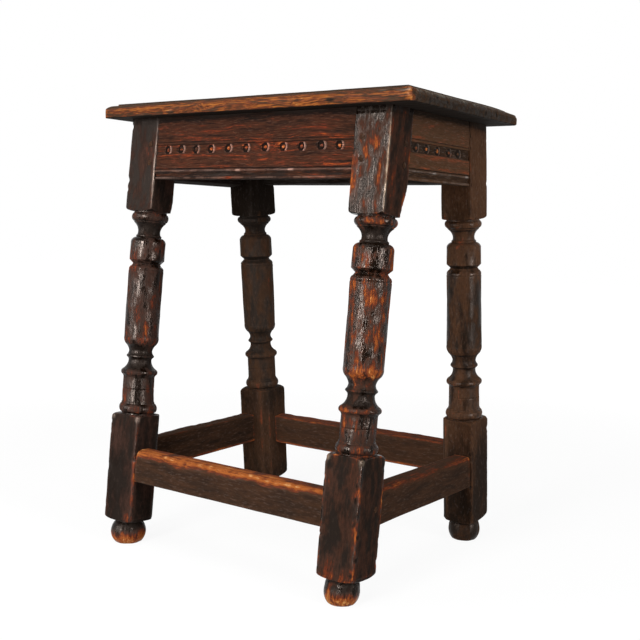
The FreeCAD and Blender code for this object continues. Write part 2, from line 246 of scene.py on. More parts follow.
def tube_faces(rows, columns, capped=True):
    """Quads of a tube of rings, with a fan at each end about the two last points."""
    row, column = np.meshgrid(np.arange(rows - 1), np.arange(columns), indexing="ij")
    following = (column + 1) % columns
    quads = np.stack([
        row * columns + column, row * columns + following,
        (row + 1) * columns + following, (row + 1) * columns + column,
    ], axis=-1).reshape(-1, 4).tolist()
    if capped:
        low, high = rows * columns, rows * columns + 1
        last = (rows - 1) * columns
        for index in range(columns):
            after = (index + 1) % columns
            quads.append([low, after, index])
            quads.append([high, last + index, last + after])
    return quads


def with_ends(rings):
    """Rings as one list, followed by the middle of the first and of the last ring."""
    ends = np.stack([rings[0].mean(axis=0), rings[-1].mean(axis=0)])
    return np.concatenate([rings.reshape(-1, *rings.shape[2:]), ends])


def relief(points, faces, rounds):
    """How far each point stands off from the smoothed surface round it."""
    pairs = np.array([
        (face[index - 1], face[index]) for face in faces if len(face) < 5
        for index in range(len(face))
    ])
    pairs = np.concatenate([pairs, pairs[:, ::-1]])
    count = np.bincount(pairs[:, 0], minlength=len(points)).clip(1)[:, None]
    smooth = points.copy()
    for _ in range(rounds):
        total = np.stack([
            np.bincount(pairs[:, 0], smooth[pairs[:, 1], axis], len(points)) for axis in range(3)
        ], axis=1)
        smooth = smooth * 0.4 + total / count * 0.6
    return points - smooth


def make_piece(name, points, faces, fibre, material, turned=False, rounds=10,
               bare=0.0, rub=1.0, grime=0.0, polish=0.0, gleam=0.0, scuff=0.0):
    """Mesh object in metres with its grain and wear, riding on the frame for its CAD node.

    turned tells that the faces are wound the wrong way round and have to be turned over, and
    rounds how broadly the surface is smoothed to find its arrises and recesses. bare tells where
    the wax is thin (up to 1) or thick (down to -1), rub how far the arrises are rubbed,
    grime where dirt lies besides the recesses and where shade is painted, polish where
    the wax is bright, gleam how bright it is on the arrises and scuff where it is
    scratched pale and where highlights are painted pale. Faces that look down get painted shade."""
    proud = relief(points, faces, rounds)
    mesh = bpy.data.meshes.new(name)
    mesh.from_pydata((points * MM).tolist(), [], faces)
    if turned:
        mesh.flip_normals()
    mesh.update()
    normals = np.zeros(len(points) * 3, np.float32)
    mesh.vertex_normals.foreach_get("vector", normals)
    normals = normals.reshape(-1, 3)
    height = np.einsum("ij,ij->i", proud, normals)
    # painted shade: faces that look down, above the feet, are darkened
    under = 0.9 * eased(-normals[:, 2], 0.6, 0.9) * (points[:, 2] > 60)
    fields = {
        "rub": np.clip(height / 0.45, 0, 1) * rub,
        "grime": np.maximum(np.maximum(np.clip(-height / 0.45, 0, 1), grime), under),
        "bare": bare + 0 * height,
        "scuff": scuff + 0 * height,
        "polish": np.maximum(polish + 0 * height, np.clip(height / 0.30, 0, 1) * gleam),
    }
    for title, values in fields.items():
        layer = mesh.attributes.new(title, "FLOAT", "POINT")
        layer.data.foreach_set("value", values.astype(np.float32))
    layer = mesh.attributes.new("fibre", "FLOAT_VECTOR", "POINT")
    layer.data.foreach_set("vector", (fibre * MM).astype(np.float32).ravel())
    mesh.shade_smooth()
    mesh.set_sharp_from_angle(angle=math.radians(38))
    mesh.materials.append(material)
    piece = bpy.data.objects.new(name, mesh)
    bpy.context.scene.collection.objects.link(piece)
    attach(piece, "root")
    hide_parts(name)


def soft_spots_at(points, spots):
    """Sum of soft spots, each with its middle, its reaches and its strength."""
    total = np.zeros(len(points))
    for middle, reach, strength in spots:
        away = np.linalg.norm((points - middle) / reach, axis=1)
        total += strength * (1 - eased(away, 0.45, 1.15))
    return np.clip(total, -1, 1)


def to_side(points, face, hand):
    """Mirrors points of the front right to the side asked for, and says if they were mirrored."""
    signs = (1 if hand == "right" else -1, 1 if face == "front" else -1, 1)
    return points * signs, signs[0] * signs[1] < 0


def leaned(size, across, depth, up):
    """Points of the upright front frame, leaned back into their place."""
    y = depth * math.cos(size.lean) + up * math.sin(size.lean) - size.foot_line
    z = up * math.cos(size.lean) - depth * math.sin(size.lean)
    return np.stack([across + 0 * y, y, z], axis=-1)


def sloped_y(size, depth, height):
    """Y of the plane that lies this deep behind the front legs' face, at a height."""
    return height * math.tan(size.lean) + depth / math.cos(size.lean) - size.foot_line


def frame_top(size, depth):
    """Distance up the sloping frame to its level top, at a depth."""
    return (size.frame_height + depth * math.sin(size.lean)) / math.cos(size.lean)


def seat_peg_place(size):
    """Middle of the front right peg of the seat board."""
    middle = size.rail_setback + size.rail_thick / 2
    halfway = size.frame_height - (size.seat_peg_length - size.board_thick) / 2
    return size.seat_peg_reach, sloped_y(size, middle, halfway)


def grain_offset(seed):
    """Place in the timber that a piece was cut from."""
    return np.array([seed * 611.0, seed * 173.0, seed * 97.0])


# Legs

TURNING_SHARES = [             # height and radius; four numbers are an arc's middle and end
    (0.000, 0.902), (0.007, 0.902),
    (0.029, 1.020, 0.051, 0.889), (0.057, 0.889), (0.059, 0.858),
    (0.117, 0.858), (0.119, 0.831), (0.122, 0.858), (0.172, 0.858),
    (0.179, 0.889, 0.186, 0.969), (0.198, 1.010, 0.209, 0.933),
    (0.226, 0.738, 0.257, 0.636), (0.262, 0.649),
    (0.267, 0.693, 0.273, 0.769), (0.279, 0.769), (0.286, 0.702, 0.303, 0.649),
    (0.316, 0.693, 0.330, 0.791), (0.345, 0.924, 0.374, 0.969),
    (0.543, 0.982, 0.717, 0.964), (0.720, 0.942), (0.723, 0.956),
    (0.734, 0.924, 0.742, 0.827), (0.753, 0.738), (0.761, 0.827, 0.772, 0.947),
    (0.861, 0.947), (0.875, 0.871, 0.885, 0.658), (0.887, 0.684), (0.893, 0.684),
    (0.899, 0.613), (0.911, 0.596), (0.927, 0.640, 0.950, 0.858), (0.955, 0.871),
    (0.957, 0.916), (0.973, 1.010, 0.991, 0.916), (1.000, 0.902),
]
FOOT_SHARES = [(0.500, 1.000, 0.880, 0.760), (0.930, 0.720), (0.960, 0.902), (1.000, 0.902)]
BLOCK_END = 0.930              # radius of a block's turned end, in half squares
CORNER_ANGLES = 24             # points round a quarter of a leg
BLEND = 26.0                   # how sharply the turned form and the square block meet

# Places up the turning at which a leg's lift and girth are given, as shares of its length
TURNING_MARKS = (0.0, 0.2, 0.37, 0.6, 0.75, 0.9, 1.0)
# Heights up the leg at which its drift to the side is given
DRIFT_MARKS = (0, 28, 36, 165, 190, 300, 400, 430, 540)

# Heights up the leg from which and to which its drum is polished, each as a soft step
DRUM = ((350, 356), (388, 394))

# Each leg's own ways: its place in the timber, the girth of its foot, the sheen of its upper
# block and the polish of all of it, how sharp its upper and lower arrises are, how far the lower
# block swells, and the lift, girth and outward drift of its turning. The wear, and on a few faces
# painted light, is in soft spots: middle (outward from the middle of the stool, from its front,
# up), reach and strength. The pale scuffs and painted highlights on the arrises are soft spots
# too, with places in the leg: up it, across it, behind its face. The look is what its wax is
# made with.
LEGS = {
    "front_right": SimpleNamespace(
        seed=1.0, foot=0.89, sheen=0.9, polish=1.0, crisp=70, worn=70, swell=1.5,
        lift=(1.8, -0.5, 0.0, 0.5, 3.4, 1.2, 1.4),
        girth=(1.04, 1.05, 1.03, 1.02, 1.08, 1.05, 1.05),
        drift=(-5.2, -4.6, -1.4, -1.0, -0.8, -0.6, -0.2, -0.2, 0.0),
        spots=[
            ((158, -162, 40), (26, 14, 26), 0.22), ((187, -160, 62), (5, 7, 46), 0.08),
            ((152, -150, 136), (12, 12, 20), 0.24), ((188, -150, 128), (4, 6, 34), 0.10),
            ((192, -130, 90), (10, 17, 80), -0.12), ((168, -158, 98), (20, 8, 26), -0.16),
            ((150, -124, 480), (8, 18, 70), 0.24), ((146, -124, 446), (7, 18, 30), 0.16),
            ((166, -126, 490), (9, 14, 30), 0.12), ((170, -126, 434), (26, 14, 7), 0.20),
            # the spot at (192, -100, 480) is painted light: it lightens the upper block's right
            # side face
            ((172, -118, 480), (22, 14, 60), 0.06), ((192, -100, 480), (9, 18, 80), 0.08),
            ((168, -112, 398), (45, 45, 14), -0.45), ((168, -116, 372), (45, 45, 14), 0.12),
            ((168, -130, 255), (45, 45, 9), 0.30), ((168, -126, 310), (45, 45, 70), 0.10),
            ((168, -136, 228), (45, 45, 12), -0.40), ((168, -142, 178), (45, 45, 14), -0.15),
            ((163, -144, 2), (45, 45, 15), 0.70), ((163, -144, 25), (45, 45, 9), -0.50),
            ((173, -133, 372), (3.5, 3.5, 12), -0.40), ((183, -126, 372), (3.5, 3.5, 12), -0.35),
            ((178, -130, 372), (3, 3, 14), 0.22), ((166, -134, 372), (3, 4, 14), 0.22),
        ],
        # painted highlights along the upper block's outer front arris and at the lower block's top
        # corners
        scuffs_and_highlights=[((480, 22.5, 0), (66, 1.4, 1.5), 1.0), ((160, 22, 1), (4, 4, 4), 0.35),
                ((161, -21, 1), (4, 5, 4), 0.4)],
        look=dict(bump=0.5, wear=0.9, tint=(0.90, 0.78, 0.62), Tone=-0.03, Patches=2.2,
                  Stripes=1.0, Gloss=0.87, Bloom=0.04, Brown=(0.034, 0.012, 0.006, 1.0))),
    "front_left": SimpleNamespace(
        seed=2.0, foot=0.98, sheen=0.4, polish=1.0, crisp=60, worn=55, swell=0.9,
        lift=(2.0, 4.8, 3.7, 0.0, -1.9, -2.4, 0.7),
        girth=(1.04, 1.01, 0.99, 0.985, 1.02, 1.03, 1.01),
        drift=(1.2, 1.0, -1.0, -0.6, 2.2, 4.0, 3.6, 2.9, 1.3),
        spots=[
            ((168, -144, 2), (45, 45, 17), 0.78), ((168, -144, 26), (45, 45, 9), -0.50),
            ((150, -128, 285), (6, 10, 30), 0.28), ((152, -132, 258), (10, 10, 10), 0.24),
            ((184, -124, 352), (5, 10, 14), 0.22),
            ((146, -156, 100), (4, 7, 80), 0.32), ((150, -162, 36), (10, 8, 12), 0.30),
            ((176, -160, 100), (18, 8, 80), -0.20), ((148, -120, 480), (7, 14, 70), 0.12),
            ((168, -130, 300), (45, 45, 50), 0.06), ((168, -118, 370), (45, 45, 12), 0.10),
            ((168, -110, 398), (45, 45, 14), -0.25), ((168, -134, 235), (45, 45, 20), -0.20),
        ],
        # painted highlights along the upper block's inner front arris and at the lower block's top
        # corners
        scuffs_and_highlights=[((478, -22.5, 0), (60, 1.8, 2), 0.75), ((161, -22, 1), (5, 4, 4), 0.4),
                ((161, 20, 1), (4, 5, 4), 0.3)],
        look=dict(bump=0.28, wear=0.8, tint=(0.92, 0.80, 0.74), Tone=-0.10, Patches=1.3,
                  Stripes=0.8, Gloss=0.80, Bloom=0.04, Brown=(0.034, 0.014, 0.009, 1.0))),
    "rear_right": SimpleNamespace(
        seed=3.0, foot=0.92, sheen=0.3, polish=0.8, crisp=70, worn=60, swell=0.5,
        lift=(3.9, 2.2, 3.6, 3.0, 5.0, 2.4, 2.1),
        girth=(1.04, 1.00, 1.03, 0.98, 1.02, 1.00, 1.02),
        drift=(0.6, 0.6, 1.0, 1.3, 1.6, 2.4, 2.4, 1.2, 0.8),
        spots=[((168, -110, 480), (60, 60, 80), 0.14), ((168, -130, 300), (45, 45, 90), -0.30),
               ((168, -150, 60), (60, 60, 110), -0.20)],
        scuffs_and_highlights=[],
        # painted light: this leg's colours are made about twice as light, as if more light fell on
        # the stool's right side
        look=dict(bump=0.2, wear=0.4, tint=(1.90, 2.00, 2.15), Tone=-0.03, Patches=0.7,
                  Stripes=0.5, Gloss=0.85, Bloom=0.05)),
    "rear_left": SimpleNamespace(
        seed=4.0, foot=0.95, sheen=0.3, polish=0.5, crisp=60, worn=60, swell=1.2,
        lift=(5.0, 5.6, 4.8, 3.4, 2.4, 2.8, 1.4),
        girth=(1.05, 1.04, 1.03, 1.05, 1.08, 1.07, 1.05),
        drift=(0.0, 0.0, 0.0, -1.4, -2.2, -2.6, -2.2, -1.2, 0.0),
        # the spot at (168, -150, 100) is painted light: it lightens the lower part of the leg,
        # which stands in shade
        spots=[((168, -110, 470), (60, 60, 80), -0.45), ((168, -150, 100), (60, 60, 70), 0.22)],
        scuffs_and_highlights=[],
        look=dict(bump=0.2, wear=0.5, tint=(1.25, 1.35, 1.45), Tone=-0.07, Patches=0.7,
                  Stripes=0.5, Gloss=0.65, Bloom=0.05)),
}


def leg_outline(size, foot):
    """Height and radius of the round form that the leg is turned to, from under the foot."""
    end = size.half * BLOCK_END
    full = size.leg_square * 0.80
    middle = end + (full - end) * 0.7
    rise = size.shoulder * 0.28
    rows = scaled(FOOT_SHARES, 0, size.foot_height, 0, size.half)
    low, high = size.foot_height, size.turned_low
    rows += [
        (low, end), (low + rise, middle, low + size.shoulder, full), (high - size.shoulder, full),
        (high - rise, middle, high, end),
    ]
    rows += scaled(TURNING_SHARES, size.turned_low, size.turned_length, 0, size.half)
    high = size.turned_high
    rows += [
        (high, end), (high + rise, middle, high + size.shoulder, full),
        (frame_top(size, size.leg_square), full),
    ]
    line = traced((-0.08 * size.foot_height, 0.36 * size.half), rows)
    narrowing = 1 - eased(line[:, 0], 0.6 * size.foot_height, 0.9 * size.foot_height)
    line[:, 1] *= 1 + (foot - 1) * narrowing
    return line


def ring_angles():
    """Angles round a leg, closer together at the corners of its blocks."""
    part = np.linspace(-1, 1, CORNER_ANGLES + 1)[:-1]
    within = 45 * (0.35 * part + 0.65 * np.sin(part * math.pi / 2))
    return np.radians(np.concatenate([within + 90 * side for side in range(4)]))


def block_radius(size, ways, angle, up, sharp, loss):
    """Radius of a square block with worn arrises, a waney inner one and any loss behind it."""
    wane_reach = (size.half + size.half - size.wane) / math.sqrt(2)
    faces = [(0, size.half), (90, size.half), (135, wane_reach), (180, size.half), (270, size.half)]
    lower = up[:, :1] < size.turned_low
    total = 0
    for number, (facing, reach) in enumerate(faces):
        places = np.stack([up[:, :1] / 2.2, up[:, :1] * 0 + number * 50.0, up[:, :1] * 0], axis=-1)
        reach = reach + np.where(lower, ways.swell, 0.0) + 0.3 * waver(places, 24.0, ways.seed)
        if facing == 90 and loss:
            missing = 1 - eased(up[:, :1], size.turned_high, size.rail_low / math.cos(size.lean))
            reach = reach - np.where(lower, 0.0, loss * missing)
        toward = np.clip(np.cos(angle - math.radians(facing)), 1e-6, None)
        total = total + (toward / reach) ** sharp
    return total ** (-1 / sharp)


def leg_rings(size, ways, front):
    """Rings of points of a front right leg, and their places in its timber."""
    rows = spaced(softened(leg_outline(size, ways.foot), 0.2), 2.2, 9)
    up, turned = rows[:, :1], rows[:, 1:]
    edge = size.shoulder / 2
    lower = (up > size.foot_height - edge) & (up < size.turned_low + edge)
    square = lower | (up > size.turned_high - edge)
    part = (up - size.turned_low) / size.turned_length
    girth = np.interp(part, TURNING_MARKS, ways.girth, left=1.0, right=1.0)
    turned = turned * np.where(square, 1.0, girth)
    angle = ring_angles()[None, :]
    ring = np.stack(np.broadcast_arrays(
        turned * np.cos(angle), turned * np.sin(angle), up), axis=-1)

    base = np.where(up > size.turned_high, ways.crisp, ways.worn)
    sharp = base * np.exp(0.6 * waver(ring, 16.0, ways.seed))
    loss = size.front_loss if front else 0
    block = block_radius(size, ways, angle, np.broadcast_to(up, sharp.shape), sharp, loss)
    corner = eased(block, size.half * 1.29, size.half * 1.38)
    block = block - corner * 3.0 * np.clip(waver(ring, 8.0, ways.seed + 40) - 0.28, 0, 1)
    both = (block ** -BLEND + turned ** -BLEND) ** (-1 / BLEND)
    radius = np.where(square, both, turned)
    radius = radius + 0.20 * waver(ring, 21.0, ways.seed + 10)
    radius = radius + 0.10 * waver(ring, 5.5, ways.seed + 20)

    # each leg's own heights and drift
    lift = np.interp(part, (-0.45, *TURNING_MARKS, 1.4), (0.0, *ways.lift, 0.0))
    drift = np.interp(up, DRIFT_MARKS, ways.drift)
    raised = up + lift
    x = radius * np.cos(angle)
    depth = size.half + radius * np.sin(angle)
    high = size.turned_high + ways.lift[-1]
    share_up = np.clip((raised - high) / (raised[-1, 0] - high), 0, 1)
    placed = np.where(raised > high, high + share_up * (frame_top(size, depth) - high), raised)
    middle = size.frame_length / 2 - size.half
    points = leaned(size, middle + x + drift, depth, placed)
    points[..., 2] = points[..., 2].clip(0, size.frame_height)
    fibre = np.stack([up + 0 * x, x, depth], axis=-1)
    return points, fibre


def build_leg(size, face, hand, material):
    """Leg with its own turning, wear and place in the timber."""
    ways = LEGS[face + "_" + hand]
    rings, fibre = leg_rings(size, ways, face == "front")
    points, fibre = with_ends(rings), with_ends(fibre)
    # painted shade: the top of the leg darkens just below the seat board
    grime = eased(points[:, 2], size.frame_height - 11, size.frame_height - 2) * 0.9
    rub = 1 - 0.7 * eased(points[:, 2], size.turned_high - 4, size.turned_high + 4)
    rub = rub - 0.35 * (1 - eased(points[:, 2], size.turned_low - 4, size.turned_low + 4))
    bare = soft_spots_at(points, ways.spots)

    up, across, depth = fibre.T
    girth = np.hypot(across, depth - size.half)
    turned = (up < size.foot_height) | ((up > size.turned_low) & (up < size.turned_high))
    rounded = 0.88 + 0.12 * eased(girth, size.half * 0.72, size.half * 0.90)
    rounded = rounded + 0.12 * eased(up, *DRUM[0]) * (1 - eased(up, *DRUM[1]))
    flat = np.where(up > size.turned_high, ways.sheen, 0.12) * (1 - eased(depth, 1.5, 5.0))
    points, mirrored = to_side(points, face, hand)
    make_piece(
        "leg_" + face + "_" + hand, points, tube_faces(*rings.shape[:2]),
        fibre + grain_offset(ways.seed), material, mirrored, rounds=6, bare=bare,
        rub=rub, grime=grime, polish=np.where(turned, rounded, flat) * ways.polish,
        gleam=1.0 if face == "front" else 0.3, scuff=soft_spots_at(fibre, ways.scuffs_and_highlights))


# Rails and stretchers

MOULDING_SHARES = [            # height and depth from a rail's lower edge
    (0.000, 0.600), (0.130, 0.040, 0.290, 0.700), (0.310, 1.000),
    (0.500, 1.000, 0.700, 0.300), (0.740, 0.040), (0.860, 0.040), (0.900, 0.700), (0.960, 0.700),
    (1.000, 0.000),
]
# Middles of the carved units, and how brightly their beads are rubbed
FRONT_UNITS = (
    (-129, 0.2), (-107, 0.25), (-83, 0.6), (-59, 0.9), (-32, 1.0), (-5, 0.85), (23, 0.8), (49, 0.9),
    (75, 1.0), (102, 0.95), (126, 1.0),
)
END_UNITS = ((-56, 0.5), (-33, 1.0), (-8, 0.9), (20, 0.3), (43, 0.2))
END_CUT = 0.6                  # how deep the end rails are carved, against the front and rear
NICKS = (-14, 63)              # places along a rail where its moulding's arris is nicked pale

# Each rail's own ways: how far its lower edge is raised, and its look
RAILS = {
    "front": SimpleNamespace(
        trim=0.0,
        look=dict(bump=0.45, tint=(1.15, 0.80, 0.70), Tone=0.05, Patches=1.4, Stripes=1.8)),
    "rear": SimpleNamespace(
        trim=4.0, look=dict(bump=0.25, Tone=-0.07, Patches=0.6, Stripes=0.7)),
    # painted light: this rail's colours are made about twice as light, and its tone raised, as if
    # more light fell on the stool's right end
    "right": SimpleNamespace(
        trim=0.0,
        look=dict(bump=0.25, tint=(1.85, 2.05, 2.2), Tone=0.13, Patches=0.6, Stripes=0.7)),
    "left": SimpleNamespace(
        trim=-1.0, look=dict(bump=0.25, Tone=-0.02, Patches=0.6, Stripes=0.7)),
}
# Each stretcher's own ways: wear of its top arris, bareness of its top, lift, tilt and tone
STRETCHERS = {
    "front": SimpleNamespace(worn=3.2, top=0.54, lift=0.0, tilt=0.0, tone=-0.02),
    "rear": SimpleNamespace(worn=1.2, top=0.30, lift=2.2, tilt=-1.6, tone=0.05),
    "right": SimpleNamespace(worn=1.4, top=0.20, lift=-0.8, tilt=4.6, tone=-0.02),
    "left": SimpleNamespace(worn=1.6, top=0.12, lift=1.2, tilt=-1.0, tone=-0.02),
}


def carving(along, height, units, seed):
    """How far the carved band stands out of its face, and where its beads, lips and pits are.

    A unit is a wedge cut, a bead with a forked tail in a pit, and a crescent lip behind it."""
    total = np.zeros(np.broadcast(along, height).shape)
    beads, lips, pits = total.copy(), total.copy(), total.copy()
    for number, (middle, bright) in enumerate(units):
        drift = math.sin(seed * 3.1 + number * 2.3)
        u = (along - middle) * (1 + 0.06 * drift)
        v = height + 0.25 * drift
        inside = 1 - eased(np.abs(v), 4.2, 5.2)
        pit = eased(u, -8.5, -2.0) * (1 - eased(np.hypot(u, v * 0.9), 4.4, 5.2)) * (u < 6)
        wedge = eased(u, -9.5, -4.0) * (1 - eased(u, -4.0, -2.5))
        wedge = wedge * (1 - eased(np.abs(v) - 0.35 * (u + 10), 0.0, 1.4))
        lip = np.exp(-((u - 5.3 + 0.08 * v * v) / 1.3) ** 2)
        fork = (2.6 + 0.3 * drift) * np.sin(math.pi * np.clip((u + 4.6) / 8.2, 0, 1) ** 1.8)
        bead = np.sqrt(np.clip(1 - (v / np.maximum(fork, 0.05)) ** 2, 0, 1)) * eased(fork, 0.2, 2.0)
        total += inside * (1.3 * lip - 1.4 * pit - 0.9 * wedge) + (2.1 + 0.3 * drift) * bead
        beads = np.maximum(beads, bead * bright)
        lips = np.maximum(lips, lip * inside)
        pits = np.maximum(pits, np.maximum(pit, wedge) * inside * (1 - bead))
    return total, beads, lips, pits


def rail_section(size):
    """Moulded section of a rail, up its face from the lower back edge, then down its back."""
    face, back = size.rail_setback, size.rail_setback + size.rail_thick
    low, high = size.band_low, size.band_low + size.band_width
    floor = face + size.band_depth
    ridge = high + size.ridge
    rows = [(0.0, face + 3)]
    rows += scaled(MOULDING_SHARES, 0, size.moulding_height, face, size.moulding_depth)
    rows += [
        (low, face), (low + 0.3, floor), (high - 0.3, floor), (high, face), (ridge, face),
        (ridge + size.groove / 2, face + 1.1), (ridge + size.groove, face),
        (size.rail_height - 0.8, face), (size.rail_height, face + 0.6),
    ]
    line = softened(traced((3.0, back - 1.0), rows), 0.15)
    line = spaced(line, 2.4, 12, fine=(low - 0.5, high + 0.5, face + 5, 0.6))
    high = size.rail_height
    back_line = np.array([(high, back - 1), (high - 1, back), (4, back)], float)
    return np.concatenate([line, spaced(softened(back_line, 0.3), 6.0, 25)])


def stretcher_section(size):
    """Plain section of a stretcher, up its face from the lower back edge."""
    face = size.stretcher_setback
    back, high = face + size.stretcher_thick, size.stretcher_height
    rows = [
        (0.0, face + 1.2), (1.2, face), (high - 1.4, face), (high, face + 1.4),
        (high, back - 1.2), (high - 1.2, back), (1.2, back),
    ]
    return spaced(softened(traced((0.0, back - 1.2), rows), 0.5), 1.5, 12)


def carved_face(size, along, height, line, front, units, seed):
    """Carved band and moulding of a rail: how far the carving stands out of the face, and where
    the face is bare, polished, scuffed pale and painted with highlights. line has the places along
    the rail."""
    low, high = size.band_low, size.band_low + size.band_width
    window = eased(height, low - 0.2, low + 1.0) * (1 - eased(height, high - 1.0, high + 0.2))
    window = window * front
    carved, beads, lips, pits = carving(along, height - (low + high) / 2, units, seed)
    cut = 1.0 if units is FRONT_UNITS else END_CUT
    polish = np.maximum(0.7 * beads, lips) * window

    # bare wood on the beads, and in patches above and below the band; the lips are paler, partly
    # worn and partly a painted highlight, and the pits darker, partly dark wax and partly painted
    # shade
    patches = eased(waver(line, 30.0, seed + 6) + 0.4 * waver(line, 7.0, seed + 7), -0.05, 0.35)
    above = np.exp(-((height - high - size.ridge - size.groove - 1.8) / 1.6) ** 2)
    below = np.exp(-((height - low + 2.6) / 2.0) ** 2)
    below = below + 0.8 * np.exp(-((height - size.moulding_height - 2.0) / 1.8) ** 2)
    bare = 0.40 * beads + 0.20 * lips + 0.06 - 0.22 * pits - 0.8 * (1 - cut) * (1 - beads)
    bare = bare * window
    bare += 0.22 * above * patches + 0.18 * below * (1 - patches) * front

    # pale scuffs and painted highlights on the lips and along the moulding's arrises
    broken = eased(waver(line, 11.0, seed + 11) + 0.5 * waver(line, 3.0, seed + 12), -0.25, 0.45)
    nicks = sum(np.exp(-((along - place) / 3.5) ** 4) for place in NICKS)
    arris = np.exp(-((height - 10.8) / 1.1) ** 2)
    scuff = (1.3 * cut - 0.6) * lips * window
    scuff = scuff + np.minimum(0.12 + 0.18 * broken + nicks, 1.0) * arris * front
    scuff += 0.20 * (1 - broken) * np.exp(-((height - 2.2) / 0.9) ** 2) * front

    moulded = (1 - eased(height, size.moulding_height - 0.6, size.moulding_height + 0.4)) * front
    polish = polish + moulded * (0.4 + 0.5 * waver(line, 20.0, seed + 8))
    return carved * window * cut, bare - 0.10 * moulded, polish, scuff


def worn_arris(size, spot, seed, worn, top):
    """Wear of a stretcher's upper front arris: how far it is worn away, and how bare it is."""
    edge = np.hypot(spot[..., 1] - size.stretcher_height, spot[..., 2] - size.stretcher_setback)
    line = spot * (1, 0, 0)
    amount = worn * (0.75 + 0.5 * waver(line, 34.0, seed + 3) + 0.3 * waver(line, 9.0, seed + 4))
    reach = 5.5 + 1.5 * amount
    gone = np.clip(1 - edge / reach, 0, 1) * eased(amount, 0.0, 1.5)
    upper = eased(spot[..., 1], size.stretcher_height - 2.0, size.stretcher_height - 0.4)
    bare = np.clip(gone * 1.6, 0, 1) * 0.66 * min(1.0, worn / 3)
    bare = np.maximum(bare, top * upper * eased(amount / worn, 0.1, 0.8))
    return gone * amount * 0.85, bare


def uneven_bar(size, section, stations, units, seed, worn, top):
    """Section at each station of a bar, uneven, carved and worn: along, height, depth, bareness,
    polish, and scuffs with painted highlights. top tells how bare its upper face is."""
    along = stations[:, None]
    height, depth = section[None, :, 0], section[None, :, 1]
    spot = np.stack(np.broadcast_arrays(along, height, depth), axis=-1)
    front = depth < size.rail_setback + size.rail_thick * 0.5
    bare = polish = scuff = 0 * spot[..., 0]
    if units:
        line = spot * (1, 0, 0)
        carved, bare, polish, scuff = carved_face(size, along, height, line, front, units, seed)
        depth = depth - carved
    drawn = spot / (3.0, 1, 1)
    swell = 0.22 * waver(drawn, 13.0, seed) + 0.10 * waver(drawn, 3.6, seed + 5)
    depth = depth - np.where(front, 1, -1) * swell
    height = height + 0.25 * waver(drawn, 11.0, seed + 9) * (height < size.rail_height - 3)
    if worn:
        loss, bare = worn_arris(size, spot, seed, worn, top)
        height, depth = height - loss, depth + loss
    return along + 0 * depth, height + 0 * depth, depth, bare, polish, scuff


def build_bar(size, name, section, low, material, seed, units=(), worn=0.0, top=0.0,
              step=0.6, tilt=0.0, trim=0.0, rubbing=1.0):
    """Rail or stretcher, named for its side, with its lower edge at the height low.

    worn and top tell how worn its upper arris and how bare its top is, step how far apart its
    sections are and rubbing how far its arrises are rubbed. tilt lowers its far end and trim
    raises its lower edge."""
    side = name.split("_")[1]
    front = side in ("front", "rear")
    reach = size.inner_face + size.housed
    if not front:
        reach = -sloped_y(size, size.leg_square, low + size.stretcher_height / 2)
    stations = np.linspace(-reach, reach, int(2 * reach / step))
    along, height, depth, bare, polish, scuff = uneven_bar(
        size, section, stations, units, seed, worn, top)
    fibre = np.stack([along, height, depth], axis=-1)
    full = section[:, 0].max()
    height = height + trim * (1 - height / full) - tilt * eased(along, -reach, reach)
    if front:
        start = low / math.cos(size.lean)
        up = start + height
        if low == size.rail_low:
            up = start + height * (frame_top(size, depth) - start) / size.rail_height
        rings = leaned(size, along, depth, up)
        inside = size.inner_face - np.abs(along)
    else:
        level = low + height
        room = -sloped_y(size, size.leg_square, level) + size.housed
        rings = np.stack([size.frame_length / 2 - depth, along / reach * room, level], axis=-1)
        inside = room - size.housed - np.abs(rings[..., 1])
    rings[..., 2] = rings[..., 2].clip(0, size.frame_height)
    points = with_ends(rings)
    face, hand = ("rear" if side == "rear" else "front"), ("left" if side == "left" else "right")
    points, mirrored = to_side(points, face, hand)
    inside = with_ends(inside)
    grime = 0.3 * (1 - eased(inside, 0.0, 1.2))
    # painted shade: the top of a rail darkens just below the seat board
    under_board = eased(points[:, 2], size.frame_height - 11, size.frame_height - 2)
    grime = np.maximum(grime, 0.9 * under_board)
    rub = eased(inside, 0.5, 3.0) * rubbing
    bare = with_ends(bare) * eased(inside, -0.5, 1.5)
    back = size.rail_setback + size.stretcher_thick
    if units:
        bare = bare - 0.4 * eased(with_ends(depth), back - 4, back - 1)
    polish = with_ends(polish) * (1.0 if front else 0.4)
    if front and not units:
        polish = polish + 0.1
    make_piece(
        name, points, tube_faces(*rings.shape[:2]), with_ends(fibre) + grain_offset(seed),
        material, not mirrored, bare=bare, rub=rub, grime=grime, polish=polish,
        gleam=0.8 if front else 0.2,
        scuff=with_ends(scuff) * {"front": 1.0, "rear": 0.6}.get(side, 0.35))


# Seat board

BOARD_COLUMNS, BOARD_ROWS = 227, 131    # points along the board and across it
END_BAND = 221                          # along the board, where its worn right edge begins
# Soft spots as on the legs: chips out of the edges, thin and thick wax, and pale scuffs, which
# along the right end are partly painted highlights
BOARD_CHIPS = [
    ((-110, -130, 540), (9, 9, 3), 0.8), ((212, -130, 548), (10, 9, 4), 0.9),
    ((224, -126, 546), (5, 6, 6), 1.2),
]
BOARD_SPOTS = [
    ((0, -130, 544), (300, 10, 10), 0.36), ((0, 130, 545), (300, 9, 9), 0.20),
    ((226, 0, 545), (8, 150, 14), -0.22), ((200, -130, 547), (40, 8, 8), 0.10),
    ((-110, -131, 541), (8, 3, 2), 0.30), ((214, -130, 549), (12, 5, 3), 0.25),
]
BOARD_SCUFFS_AND_HIGHLIGHTS = [
    ((-110, -131, 541), (8, 3, 1.5), 0.7), ((214, -131, 549), (14, 5, 2), 0.6),
    ((188, -131, 550), (10, 5, 1.5), 0.5), ((222, 0, 550), (6, 300, 3), 0.22),
]


